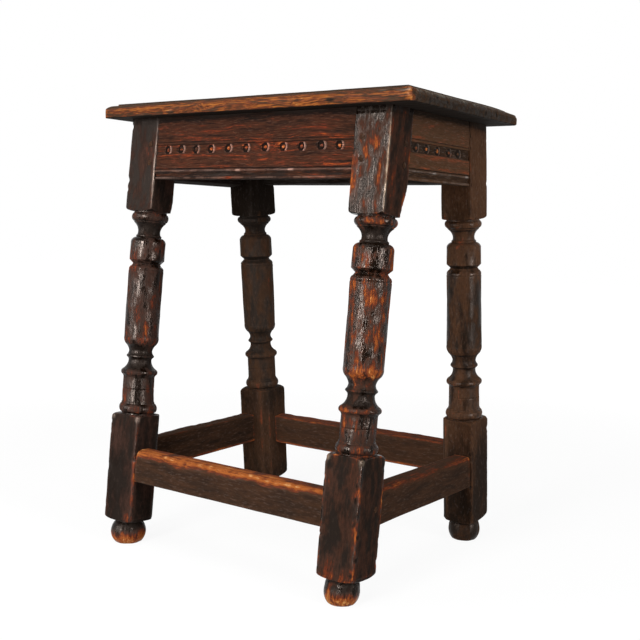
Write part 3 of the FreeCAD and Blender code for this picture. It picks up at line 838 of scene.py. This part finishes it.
def board_profile(size):
    """Inset from the board's edge and height above its underside, round the moulded edge."""
    top = size.board_thick - size.board_step
    corner = 1 - math.sqrt(0.5)
    rows = [
        (2.0, 0.0), (2.0 * corner, 2.0 * corner, 0.0, 2.0), (0.0, size.board_nose),
        (size.thumbnail * corner, top - (top - size.board_nose) * corner, size.thumbnail, top),
        (size.thumbnail + 0.2, size.board_thick), (size.thumbnail + 6, size.board_thick),
    ]
    return spaced(softened(traced((30.0, 0.0), rows), 0.25), 3.0, 12)


def board_loop(size, inset, columns, rows):
    """Plan of the board at an inset, as a loop through columns and rows of shares."""
    x = size.board_length / 2 - inset
    y = size.board_width / 2 - inset
    wide, deep = len(columns) - 1, len(rows) - 1
    across = np.concatenate([columns[:-1], np.ones(deep), columns[:0:-1], -np.ones(deep)])
    along = np.concatenate([-np.ones(wide), rows[:-1], np.ones(wide), rows[:0:-1]])
    return np.stack([across * x, along * y], axis=1)


def board_mesh(size):
    """Points and faces of the board before wear, its underside at height 0."""
    columns = np.linspace(-1, 1, BOARD_COLUMNS)
    rows = np.linspace(-1, 1, BOARD_ROWS)
    loops = []
    for inset, height in board_profile(size):
        plan = board_loop(size, inset, columns, rows)
        loops.append(np.column_stack([plan, np.full(len(plan), height)]))
    loops = np.stack(loops)
    count, around, _ = loops.shape

    inner = loops[-1]
    x = columns * inner[:, 0].max()
    y = rows * inner[:, 1].max()
    grid = np.stack(np.meshgrid(x[1:-1], y[1:-1], indexing="ij"), axis=-1).reshape(-1, 2)
    grid = np.column_stack([grid, np.full(len(grid), inner[0, 2])])
    points = np.concatenate([loops.reshape(-1, 3), grid])

    # the last loop's points are the border of the grid of the top
    faces = tube_faces(count, around, capped=False)
    wide, deep = len(columns) - 1, len(rows) - 1
    last = (count - 1) * around
    number = np.zeros((wide + 1, deep + 1), int)
    number[:-1, 0] = last + np.arange(wide)
    number[-1, :-1] = last + wide + np.arange(deep)
    number[:0:-1, -1] = last + wide + deep + np.arange(wide)
    number[0, :0:-1] = last + 2 * wide + deep + np.arange(deep)
    number[1:-1, 1:-1] = (last + around + np.arange(len(grid))).reshape(wide - 1, deep - 1)
    top = np.stack([number[:-1, :-1], number[1:, :-1], number[1:, 1:], number[:-1, 1:]], axis=-1)
    faces += top.reshape(-1, 4).tolist()
    faces.append(list(range(around))[::-1])
    return points, faces


def wear_board(size, points):
    """Wears the board's edges and hollows its top, with the underside still at height 0.

    Gives how far each point is above the nose, from 0 to 1, and its distance from a seat peg."""
    edge = np.stack([
        size.board_length / 2 - np.abs(points[:, 0]), size.board_width / 2 - np.abs(points[:, 1]),
    ], axis=1)
    drawn = points / (2.5, 1, 1)

    # uneven edges, rounded corners and chips
    lost = np.clip(waver(drawn, 7.0, BOARD_SEED) - 0.30, 0, 1) * 2.0
    lost = lost + 0.2 * (1 + waver(drawn, 19.0, BOARD_SEED + 1))
    rounding = np.where((points[:, 0] > 0) & (points[:, 1] > 0), 11.0, 6.0)
    within = np.minimum(edge.clip(0), rounding[:, None])
    corner = rounding - np.hypot(*(rounding[:, None] - within).T)
    lost += np.clip(0.3 - corner, 0, 3) * 0.55
    for middle, reach, deep in BOARD_CHIPS:
        away = np.linalg.norm((points + (0, 0, size.frame_height) - middle) / reach, axis=1)
        lost += deep * (1 - eased(away, 0.3, 1.0))
    lost *= 1 - eased(edge.min(axis=1), 0.0, 9.0)
    for axis in (0, 1):
        points[:, axis] -= np.sign(points[:, axis]) * lost * (edge[:, axis] < 9)

    # an uneven top, worn low at its rear right corner, hollow in the middle and round the pegs
    x, y, up = points.T
    raised = eased(up, size.board_nose, size.board_thick)
    swell = 0.22 * waver(drawn, 33.0, BOARD_SEED + 2) + 0.10 * waver(drawn, 6.0, BOARD_SEED + 3)
    up += raised * swell
    up -= raised * 2.2 * np.exp(-((x - 226) / 26) ** 2 - ((y - 130) / 30) ** 2)
    up -= raised * 0.9 * np.exp(-(x / 150) ** 2 - (y / 70) ** 2)
    peg_x, peg_y = seat_peg_place(size)
    from_peg = np.hypot(np.abs(x) - peg_x, np.abs(y) + peg_y)
    up -= raised * 0.35 * (1 - eased(from_peg, 4.0, 11.0))
    np.clip(up, 0, size.board_thick - 0.02, out=up)
    return raised, from_peg


def build_board(size, material):
    """Seat board with mitred thumbnail edges, worn corners and chips."""
    points, faces = board_mesh(size)
    fibre = points + grain_offset(BOARD_SEED)
    raised, from_peg = wear_board(size, points)
    points[:, 2] += size.frame_height

    at_end = points[:, 0] > END_BAND
    bare = soft_spots_at(points, BOARD_SPOTS)
    bare = bare - np.where(points[:, 2] < size.frame_height + 0.5, 0.35, 0.0)
    broken = eased(waver(points, 4.5, BOARD_SEED + 7) + 0.6 * waver(points, 13.0, BOARD_SEED + 8),
                   0.05, 0.45)
    # pale scuffs at the chips, and painted highlights broken into specks along the right end
    scuff = soft_spots_at(points, BOARD_SCUFFS_AND_HIGHLIGHTS)
    scuff = np.where(at_end, scuff * broken, scuff)
    ring = np.where(raised > 0.9, 0.8 * (1 - eased(from_peg, 5.2, 7.5)), 0.0)
    make_piece("seat_board", points, faces, fibre, material, rounds=6, grime=ring,
               bare=bare, polish=np.where(at_end, 0.55, 0.3), gleam=0.8, scuff=scuff)


# Pegs

PEG_COLUMNS = 36               # points round a peg
PEG_FACETS = 9                 # flats that a peg is shaved with
PEG_SHARP = 22                 # how sharp the arrises between them are
TENON = 22.85                  # length of the tenons; their pegs are halfway along
# Heights of the peg heads above the floor
FRONT_RAIL_PEGS, END_RAIL_PEGS, STRETCHER_PEG = (504.5, 481.5), (499.0, 476.0), (104.3,)


def peg_rings(radius, long, proud, seed):
    """Shaved peg about Z, driven down from a head that stands proud of Z = 0, and its edge dirt."""
    rows = np.array([          # height, girth and dirt
        (-long, 0.72, 0.0), (-long * 0.75, 1.0, 0.0), (-0.6, 1.0, 0.8), (proud * 0.3, 0.99, 0.7),
        (proud * 0.75, 0.88, 0.1), (proud, 0.62, 0.0), (proud, 0.3, 0.0),
    ])
    turn = np.linspace(0, math.tau, PEG_COLUMNS, endpoint=False)
    total = 0
    for number in range(PEG_FACETS):
        facing = math.tau * number / PEG_FACETS + 0.25 * math.sin(number * 2.7 + seed)
        reach = 0.95 + 0.05 * math.sin(number * 1.9 + seed * 1.7)
        total = total + (np.clip(np.cos(turn - facing), 1e-6, None) / reach) ** PEG_SHARP
    outline = radius * total ** (-1 / PEG_SHARP)
    x, y = outline * np.cos(turn), outline * np.sin(turn)
    rings = np.stack([
        np.stack([x * girth, y * girth, np.full(len(turn), height)], axis=1)
        for height, girth, _ in rows
    ])
    rings[-4:, :, 2] -= 0.03 * (1 + math.sin(seed * 5.1)) * (radius + rings[-4:, :, 0])
    return rings, np.broadcast_to(rows[:, 2:], rings.shape[:2])


def build_pegs(name, heads, face, hand, radius, long, proud, material, seed):
    """One or two pegs from their heads' places and the way they are driven, as one piece."""
    points, faces, fibre, grime = [], [], [], []
    for number, (place, inward) in enumerate(heads):
        rings, dirt = peg_rings(radius, long, proud, seed + number)
        shape = with_ends(rings)
        turned = Vector(inward).to_track_quat("-Z", "Y").to_matrix()
        start = number * len(shape)
        fibre.append(shape[:, [2, 0, 1]] + grain_offset(seed + number))
        points.append(shape @ np.array(turned).T + np.array(place))
        grime.append(with_ends(dirt))
        faces += [[index + start for index in link] for link in tube_faces(*rings.shape[:2])]
    points, mirrored = to_side(np.concatenate(points), face, hand)
    make_piece(name, points, faces, np.concatenate(fibre), material, mirrored, rounds=0,
               grime=np.concatenate(grime))


# Finish

def add(tree, kind, inputs=None, **settings):
    """New node with its settings, and inputs given as values or as other nodes' sockets."""
    node = tree.nodes.new(kind)
    for name, value in settings.items():
        setattr(node, name, value)
    for key, value in (inputs or {}).items():
        if isinstance(value, bpy.types.NodeSocket):
            tree.links.new(value, node.inputs[key])
        else:
            node.inputs[key].default_value = value
    return node


def reckon(tree, operation, first, second):
    """Socket with the result of a sum on two values."""
    return add(tree, "ShaderNodeMath", {0: first, 1: second}, operation=operation).outputs[0]


def reckon_vector(tree, operation, first, second):
    """Socket with the result of a sum on two vectors."""
    return add(tree, "ShaderNodeVectorMath", {0: first, 1: second}, operation=operation).outputs[0]


def product(tree, total, *values):
    """Socket with values multiplied, in their order."""
    for value in values:
        total = reckon(tree, "MULTIPLY", total, value)
    return total


def summed(tree, *terms):
    """Socket with the sum of values, each weighted: (value, weight) or a plain value."""
    total = 0.0
    for term in terms:
        value, weight = term if isinstance(term, tuple) else (term, 1.0)
        inputs = {0: value, 1: weight, 2: total}
        total = add(tree, "ShaderNodeMath", inputs, operation="MULTIPLY_ADD").outputs[0]
    return total


def between(tree, value, low, high, start=0.0, end=1.0):
    """Socket that goes smoothly from start to end as the value goes from low to high."""
    inputs = {"Value": value, "From Min": low, "From Max": high, "To Min": start, "To Max": end}
    node = add(tree, "ShaderNodeMapRange", inputs, interpolation_type="SMOOTHSTEP")
    return node.outputs["Result"]


def blended(tree, factor, first, second):
    """Socket with two colours mixed."""
    return add(tree, "ShaderNodeMix", {0: factor, 6: first, 7: second}, data_type="RGBA").outputs[2]


def node_group(name, inputs, outputs):
    """New shader node group with named sockets, and its input and output nodes."""
    group = bpy.data.node_groups.new(name, "ShaderNodeTree")
    for title, kind, value in inputs:
        socket = group.interface.new_socket(title, in_out="INPUT", socket_type=kind)
        if value is not None:
            socket.default_value = value
    for title, kind in outputs:
        group.interface.new_socket(title, in_out="OUTPUT", socket_type=kind)
    return group, group.nodes.new("NodeGroupInput"), group.nodes.new("NodeGroupOutput")


NUMBER, VECTOR, COLOUR = "NodeSocketFloat", "NodeSocketVector", "NodeSocketColor"
FIGURES = ("Clouds", "Streaks", "Threads", "Pores", "Specks")
# The patina's inputs that come from a mesh's attributes
FIELDS = {"Rub": "rub", "Grime": "grime", "Bare Place": "bare", "Polish": "polish",
          "Scuff": "scuff"}
# The patina's amounts and what they are where a piece says nothing
AMOUNTS = {"Tone": 0.0, "Patches": 1.0, "Stripes": 1.0, "Wear": 0.5, "Dirt": 0.6, "Bloom": 0.3,
           "Gloss": 0.5}
COLOURS = ("Ground", "Brown", "Red", "Rubbed", "Bare", "Dust", "Scuffed")
# How far gone the wax is where a colour begins and where it is reached, on from the ground colour
COLOUR_STEPS = {"Brown": (0.05, 0.40), "Red": (0.42, 0.62), "Rubbed": (0.62, 0.84),
                "Bare": (0.92, 1.25)}
# The highlights of old wax: how strong they are, and their warm colour
WAX_SPECULAR = 0.09
WAX_TINT = (1.0, 0.82, 0.72, 1.0)


def stretched_noise(tree, place, long, wide, detail, rough):
    """Noise drawn out along the grain, for places in metres."""
    scaled_place = reckon_vector(tree, "MULTIPLY", place, (1 / long, 1 / wide, 1 / wide))
    inputs = {"Vector": scaled_place, "Scale": 1.0, "Detail": detail, "Roughness": rough}
    return add(tree, "ShaderNodeTexNoise", inputs).outputs["Fac"]


def oak_grain_group():
    """Clouds, streaks, threads, pores and specks of oak, along the fibre."""
    group, given, result = node_group(
        "Oak Grain", [("Fibre", VECTOR, None), ("Stretch", NUMBER, 1.0), ("Fineness", NUMBER, 1.0)],
        [(title, NUMBER) for title in FIGURES])
    along = reckon(group, "DIVIDE", 1.0, given.outputs["Stretch"])
    fine = given.outputs["Fineness"]
    drawn = add(group, "ShaderNodeCombineXYZ", {0: along, 1: fine, 2: fine}).outputs[0]
    fibre = given.outputs["Fibre"]
    drift = add(group, "ShaderNodeTexNoise", {"Vector": fibre, "Scale": 16.0, "Detail": 2.0})
    centred = reckon_vector(group, "SUBTRACT", drift.outputs["Color"], (0.5, 0.5, 0.5))
    sway = reckon_vector(group, "MULTIPLY", centred, (0.0, 0.010, 0.010))
    swayed = reckon_vector(group, "ADD", fibre, sway)
    place = reckon_vector(group, "MULTIPLY", swayed, drawn)
    dashes = stretched_noise(group, place, 0.0060, 0.0008, 1.0, 0.5)
    figures = {
        "Clouds": stretched_noise(group, place, 0.034, 0.013, 5.0, 0.62),
        "Streaks": stretched_noise(group, place, 0.042, 0.0034, 3.0, 0.58),
        "Threads": stretched_noise(group, place, 0.014, 0.0012, 1.0, 0.5),
        "Pores": between(group, dashes, 0.60, 0.70),
        "Specks": stretched_noise(group, place, 0.0060, 0.0028, 2.0, 0.6),
    }
    for title, socket in figures.items():
        group.links.new(socket, result.inputs[title])
    return group


def wax_patina_group():
    """Colour, roughness and height of oak under old wax, from thick and dark to rubbed and bare."""
    numbers = {**dict.fromkeys(FIGURES, 0.5), **dict.fromkeys(FIELDS, 0.0), **AMOUNTS}
    inputs = [(title, NUMBER, value) for title, value in numbers.items()]
    inputs += [(title, COLOUR, (0.1, 0.1, 0.1, 1.0)) for title in COLOURS]
    group, given, result = node_group(
        "Wax Patina", inputs, [("Color", COLOUR), ("Roughness", NUMBER), ("Height", NUMBER)])
    take = given.outputs

    # how far the wax has gone, from 0, thick, to 1, bare wood
    clouds = reckon(group, "SUBTRACT", take["Clouds"], 0.5)
    polished = between(group, take["Polish"], 0.0, 0.5, 0.5, 1.0)
    patches = product(group, clouds, take["Patches"], polished)
    bared = summed(group, take["Tone"], patches, (take["Bare Place"], 1.0), (take["Rub"], 0.5))
    striped = between(group, bared, -0.1, 0.4, 0.2, 1.1)
    stripes = summed(
        group, (take["Streaks"], 0.9), (take["Threads"], 0.9), (take["Specks"], 0.7), -1.25)
    stripes = product(group, take["Stripes"], striped, stripes)
    handled = between(group, take["Clouds"], 0.3, 0.6, 0.4, 1.0)
    edge = product(group, take["Wear"], handled, take["Rub"])
    sunk_and_shaded = product(group, take["Grime"], take["Dirt"])
    gone = summed(group, 0.27, take["Tone"], (patches, 1.4), (stripes, 0.8), edge,
                  (take["Bare Place"], 0.85), (sunk_and_shaded, -0.6))

    # colour, with a grey bloom on thick wax, dirt in the pores and recesses, painted shade just
    # below the seat board and on faces that look down, and pale scuffs and painted highlights
    colour = take["Ground"]
    for title, (low, high) in COLOUR_STEPS.items():
        colour = blended(group, between(group, gone, low, high), colour, take[title])
    thick = between(group, gone, 0.75, 0.30)
    grains = between(group, take["Specks"], 0.54, 0.70)
    colour = blended(group, product(group, grains, take["Bloom"], thick), colour, take["Dust"])
    pores = product(group, take["Pores"], 0.55)
    dark = reckon(group, "MAXIMUM", pores, between(group, sunk_and_shaded, 0.15, 0.7))
    colour = blended(group, dark, colour, take["Ground"])
    pale = product(group, take["Scuff"], between(group, take["Threads"], 0.40, 0.58, 0.3, 1.0))
    colour = blended(group, pale, colour, take["Scuffed"])
    group.links.new(colour, result.inputs["Color"])

    # shine in patches, and a crackled surface
    shine = product(
        group, take["Polish"], take["Gloss"], summed(group, 1.0, (dark, -0.15)),
        between(group, take["Clouds"], 0.44, 0.56, 1.0, 0.15))
    rough = summed(group, 0.98, (shine, -0.98), (take["Threads"], 0.06))
    group.links.new(rough, result.inputs["Roughness"])
    crackle = product(group, take["Specks"], summed(group, 0.2, (take["Polish"], 0.8)))
    height = summed(group, (take["Threads"], 0.7), (take["Streaks"], 0.8), (crackle, 0.9),
                    (take["Pores"], -0.3))
    height = product(group, height, between(group, sunk_and_shaded, 0.1, 0.4, 1.0, 0.15))
    group.links.new(height, result.inputs["Height"])
    return group


def solid(value):
    """A property's colour with an alpha of 1."""
    return (*value, 1.0)


def old_oak(name, bump=0.3, wear=1.0, stretch=1.0, fineness=1.0, tint=(1.0, 1.0, 1.0), **amounts):
    """Waxed oak of one piece. wear is how far it is rubbed, as a share of the finish's wear;
    stretch and fineness draw its grain out, tint shades the finish's colours and amounts are the
    patina's other inputs."""
    finish = bpy.context.scene.stool_finish
    grain = bpy.data.node_groups.get("Oak Grain") or oak_grain_group()
    patina = bpy.data.node_groups.get("Wax Patina") or wax_patina_group()
    material = bpy.data.materials.new(name)
    material.use_nodes = True
    tree = material.node_tree
    tree.nodes.clear()
    fibre = add(tree, "ShaderNodeAttribute", attribute_name="fibre").outputs["Vector"]
    inputs = {"Fibre": fibre, "Stretch": stretch, "Fineness": fineness}
    figure = add(tree, "ShaderNodeGroup", inputs, node_tree=grain)
    inputs = {"Wear": finish.wear * wear, "Dirt": finish.dirt}
    for title in COLOURS:
        parts = getattr(finish, title.lower())
        inputs[title] = solid([min(1.0, part * shade) for part, shade in zip(parts, tint)])
    inputs.update(amounts)
    for title in FIGURES:
        inputs[title] = figure.outputs[title]
    for title, attribute in FIELDS.items():
        field = add(tree, "ShaderNodeAttribute", attribute_name=attribute)
        inputs[title] = field.outputs["Fac"]
    wax = add(tree, "ShaderNodeGroup", inputs, node_tree=patina)
    height = add(tree, "ShaderNodeBump", {
        "Height": wax.outputs["Height"], "Strength": bump, "Distance": 0.001})
    shader = add(tree, "ShaderNodeBsdfPrincipled", {
        "Base Color": wax.outputs["Color"], "Roughness": wax.outputs["Roughness"],
        "Normal": height.outputs["Normal"], "Specular IOR Level": WAX_SPECULAR,
        "Specular Tint": WAX_TINT})
    output = add(tree, "ShaderNodeOutputMaterial")
    tree.links.new(shader.outputs["BSDF"], output.inputs["Surface"])
    return material


# Operators

class STOOL_OT_seat_board(bpy.types.Operator):
    """Build the seat board"""

    bl_idname = "stool.seat_board"
    bl_label = "Seat Board"

    def execute(self, context):
        size = in_millimetres(context.scene.stool_sizes)
        finish = old_oak("board waxed oak", bump=0.4, wear=0.7, stretch=2.6, fineness=1.9,
                         tint=(0.90, 1.02, 0.94), Tone=0.01, Patches=0.5, Stripes=1.2, Gloss=0.7,
                         Bloom=0.1)
        build_board(size, finish)
        return {"FINISHED"}


class STOOL_OT_legs(bpy.types.Operator):
    """Build the four turned legs"""

    bl_idname = "stool.legs"
    bl_label = "Legs"

    def execute(self, context):
        size = in_millimetres(context.scene.stool_sizes)
        for face, hand in SIDES:
            look = LEGS[face + "_" + hand].look
            finish = old_oak("leg waxed oak " + face + " " + hand, **look)
            build_leg(size, face, hand, finish)
        return {"FINISHED"}


class STOOL_OT_rails(bpy.types.Operator):
    """Build the four carved rails"""

    bl_idname = "stool.rails"
    bl_label = "Rails"

    def execute(self, context):
        size = in_millimetres(context.scene.stool_sizes)
        section = rail_section(size)
        for number, (side, ways) in enumerate(RAILS.items()):
            finish = old_oak("rail waxed oak " + side, wear=0.9, stretch=1.9, fineness=2.3,
                             Gloss=0.6, Bloom=0.12, **ways.look)
            units = FRONT_UNITS if side in ("front", "rear") else END_UNITS
            build_bar(size, "rail_" + side, section, size.rail_low, finish,
                      RAIL_SEED + number, units, trim=ways.trim, rubbing=0.4)
        return {"FINISHED"}


class STOOL_OT_stretchers(bpy.types.Operator):
    """Build the four stretchers"""

    bl_idname = "stool.stretchers"
    bl_label = "Stretchers"

    def execute(self, context):
        size = in_millimetres(context.scene.stool_sizes)
        section = stretcher_section(size)
        for number, (side, ways) in enumerate(STRETCHERS.items()):
            finish = old_oak("stretcher waxed oak " + side, stretch=1.3, fineness=1.6,
                             Tone=ways.tone, Patches=0.6, Stripes=0.6, Gloss=0.5, Bloom=0.12)
            build_bar(size, "stretcher_" + side, section, size.stretcher_low + ways.lift,
                      finish, STRETCHER_SEED + number, worn=ways.worn,
                      top=ways.top, step=1.5, tilt=ways.tilt)
        return {"FINISHED"}


class STOOL_OT_pegs(bpy.types.Operator):
    """Build the pegs of the joints and of the seat"""

    bl_idname = "stool.pegs"
    bl_label = "Pegs"

    def execute(self, context):
        size = in_millimetres(context.scene.stool_sizes)
        finish = old_oak("peg waxed oak", wear=0.6, Tone=0.06, Gloss=0.6)
        x = size.inner_face + TENON / 2
        depth = size.leg_square - TENON / 2
        inward = (0, math.cos(size.lean), -math.sin(size.lean))

        def front_heads(heights):
            up = [np.array(height / math.cos(size.lean)) for height in heights]
            return [(leaned(size, np.array(x), np.array(0.0), place), inward) for place in up]

        def end_heads(heights):
            return [((size.frame_length / 2, sloped_y(size, depth, height), height), (-1, 0, 0))
                    for height in heights]

        seed = PEG_SEED
        for face, hand in SIDES:
            groups = {
                face + "_rail_pegs_" + hand: front_heads(FRONT_RAIL_PEGS),
                hand + "_rail_pegs_" + face: end_heads(END_RAIL_PEGS),
                face + "_stretcher_peg_" + hand: front_heads(STRETCHER_PEG),
                hand + "_stretcher_peg_" + face: end_heads(STRETCHER_PEG),
            }
            for name, heads in groups.items():
                build_pegs(name, heads, face, hand, size.peg_radius, size.peg_length,
                           size.peg_proud, finish, seed)
                seed += 1.0
            top = size.frame_height + size.board_thick - 0.05
            head = ((*seat_peg_place(size), top), (0, 0, -1))
            build_pegs("seat_peg_" + face + "_" + hand, [head], face, hand, size.seat_peg_radius,
                       size.seat_peg_length, 0.0, finish, seed)
            seed += 1.0
        return {"FINISHED"}


class STOOL_OT_stage(bpy.types.Operator):
    """Set up the floor, the lights and the camera"""

    bl_idname = "stool.stage"
    bl_label = "Stage"

    def execute(self, context):
        scene = context.scene
        scene.view_settings.view_transform = "Standard"
        build_floor(scene)
        build_world(scene)
        build_lights(scene)
        build_camera(scene)
        return {"FINISHED"}


# Stage

CAMERA = SimpleNamespace(      # viewpoint of the photograph, in degrees and millimetres
    azimuth=34.08, elevation=6.93, roll=1.46, distance=1195.96, target=(57.09, 0.0, 268.17),
    focal=958.01, middle=(340.17, 339.84), picture=640.0, sensor=36.0)
FLOOR_REACH = 6.0              # metres from the middle of the floor to its edges
GLOW = 1.07                    # how bright the floor is where it is seen
EVEN_LIGHT = 0.20              # how brightly the surroundings light the stool
# Lamps that stand round the stool: direction, width in metres and power. The strips are seen only
# in what is glossy.
LAMP_AIM, LAMP_AWAY, LAMP_HIGH = 0.3, 2.4, 1.4      # height aimed at, distance and height of a lamp
LAMPS = {
    "key light": SimpleNamespace(azimuth=-1, elevation=20, wide=0.5, power=42, strip=False),
    "fill light": SimpleNamespace(azimuth=81, elevation=20, wide=0.5, power=22, strip=False),
    "left light": SimpleNamespace(azimuth=-36, elevation=20, wide=0.7, power=14, strip=False),
    "top light": SimpleNamespace(azimuth=20, elevation=60, wide=1.4, power=20, strip=False),
    "front strip": SimpleNamespace(azimuth=-1, elevation=10, wide=0.48, power=210, strip=True),
    "right strip": SimpleNamespace(azimuth=81, elevation=10, wide=0.48, power=125, strip=True),
    "left strip": SimpleNamespace(azimuth=-36, elevation=10, wide=0.5, power=38, strip=True),
}


def towards(azimuth, elevation):
    """Direction away from the stool; azimuth 0 is the front and 90 the right."""
    azimuth, elevation = math.radians(azimuth), math.radians(elevation)
    level = math.cos(elevation)
    return Vector((math.sin(azimuth) * level, -math.cos(azimuth) * level, math.sin(elevation)))


def build_camera(scene):
    """Camera at the photograph's viewing angle, for a picture of 640 by 640."""
    azimuth, roll = math.radians(CAMERA.azimuth), math.radians(CAMERA.roll)
    back = towards(CAMERA.azimuth, CAMERA.elevation)
    level = Vector((math.cos(azimuth), math.sin(azimuth), 0.0))
    upright = back.cross(level)
    right = level * math.cos(roll) + upright * math.sin(roll)
    up = upright * math.cos(roll) - level * math.sin(roll)
    lens = bpy.data.cameras.new("camera")
    lens.sensor_width = CAMERA.sensor
    lens.lens = CAMERA.focal * CAMERA.sensor / CAMERA.picture
    lens.shift_x = (CAMERA.picture / 2 - CAMERA.middle[0]) / CAMERA.picture
    lens.shift_y = (CAMERA.middle[1] - CAMERA.picture / 2) / CAMERA.picture
    lens.clip_start, lens.clip_end = 0.05, 50.0
    camera = bpy.data.objects.new("camera", lens)
    place = (Vector(CAMERA.target) + back * CAMERA.distance) * MM
    turned = Matrix((right, up, back)).transposed().to_4x4()
    camera.matrix_world = Matrix.Translation(place) @ turned
    scene.collection.objects.link(camera)
    scene.camera = camera


def seen_ray(tree):
    """Socket that is 1 for rays that see the background: camera, glossy and transmission."""
    path = add(tree, "ShaderNodeLightPath")
    seen = reckon(tree, "MAXIMUM", path.outputs["Is Camera Ray"], path.outputs["Is Glossy Ray"])
    return reckon(tree, "MAXIMUM", seen, path.outputs["Is Transmission Ray"])


def build_floor(scene):
    """Plain pale floor that shows near white and keeps the shadow."""
    mesh = bpy.data.meshes.new("floor")
    corners = ((-1, -1), (1, -1), (1, 1), (-1, 1))
    points = [(x * FLOOR_REACH, y * FLOOR_REACH, 0) for x, y in corners]
    mesh.from_pydata(points, [], [(0, 1, 2, 3)])
    material = bpy.data.materials.new("studio floor")
    material.use_nodes = True
    tree = material.node_tree
    tree.nodes.clear()
    diffuse = add(tree, "ShaderNodeBsdfDiffuse", {"Color": solid(scene.stool_finish.floor)})
    glow = add(tree, "ShaderNodeEmission", {"Color": (1, 1, 1, 1), "Strength": GLOW})
    place = add(tree, "ShaderNodeTexCoord").outputs["Object"]
    away = add(tree, "ShaderNodeVectorMath", {0: place}, operation="LENGTH").outputs["Value"]
    white = between(tree, away, 0.5, 2.2, 0.86, 1.0)
    shown = product(tree, seen_ray(tree), white)
    mixed = add(tree, "ShaderNodeMixShader", {
        0: shown, 1: diffuse.outputs[0], 2: glow.outputs[0]})
    output = add(tree, "ShaderNodeOutputMaterial")
    tree.links.new(mixed.outputs[0], output.inputs["Surface"])
    mesh.materials.append(material)
    floor = bpy.data.objects.new("floor", mesh)
    scene.collection.objects.link(floor)


def build_world(scene):
    """White surroundings for what is seen, and a soft even light for the rest."""
    world = bpy.data.worlds.new("studio")
    scene.world = world
    world.use_nodes = True
    tree = world.node_tree
    tree.nodes.clear()
    strength = summed(tree, EVEN_LIGHT, (seen_ray(tree), 1.0 - EVEN_LIGHT))
    light = add(tree, "ShaderNodeBackground", {"Color": (1, 1, 1, 1), "Strength": strength})
    output = add(tree, "ShaderNodeOutputWorld")
    tree.links.new(light.outputs[0], output.inputs["Surface"])


def build_lights(scene):
    """Soft boxes before the front, at the right, at the left and above, and strips that give the
    wax its highlights."""
    for name, lamp in LAMPS.items():
        back = towards(lamp.azimuth, lamp.elevation)
        light = bpy.data.lights.new(name, "AREA")
        light.shape = "RECTANGLE"
        light.size, light.size_y = lamp.wide, LAMP_HIGH
        light.energy = lamp.power
        box = bpy.data.objects.new(name, light)
        box.location = Vector((0, 0, LAMP_AIM)) + back * LAMP_AWAY
        box.visible_diffuse = not lamp.strip
        box.rotation_mode = "QUATERNION"
        box.rotation_quaternion = back.to_track_quat("Z", "Y")
        scene.collection.objects.link(box)


class STOOL_PT_pieces(bpy.types.Panel):
    """Lists the stool's pieces, sizes and finish"""

    bl_idname = "STOOL_PT_pieces"
    bl_label = "Joint Stool"
    bl_space_type = "VIEW_3D"
    bl_region_type = "UI"
    bl_category = "Stool"

    def draw(self, context):
        column = self.layout.column()
        for operator in OPERATORS:
            column.operator(operator.bl_idname)
        for group in (context.scene.stool_sizes, context.scene.stool_finish):
            box = self.layout.box()
            for name in group.__annotations__:
                box.prop(group, name)


OPERATORS = [
    STOOL_OT_seat_board, STOOL_OT_legs, STOOL_OT_rails, STOOL_OT_stretchers, STOOL_OT_pegs,
    STOOL_OT_stage,
]
CLASSES = [StoolSizes, StoolFinish, *OPERATORS, STOOL_PT_pieces]


def register():
    for item in CLASSES:
        bpy.utils.register_class(item)
    bpy.types.Scene.stool_sizes = bpy.props.PointerProperty(type=StoolSizes)
    bpy.types.Scene.stool_finish = bpy.props.PointerProperty(type=StoolFinish)


def unregister():
    del bpy.types.Scene.stool_sizes
    del bpy.types.Scene.stool_finish
    for item in reversed(CLASSES):
        bpy.utils.unregister_class(item)


def main():
    """Builds the stool and its stage."""
    register()
    bpy.ops.stool.seat_board()
    bpy.ops.stool.legs()
    bpy.ops.stool.rails()
    bpy.ops.stool.stretchers()
    bpy.ops.stool.pegs()
    bpy.ops.stool.stage()


if __name__ == "__main__":
    main()
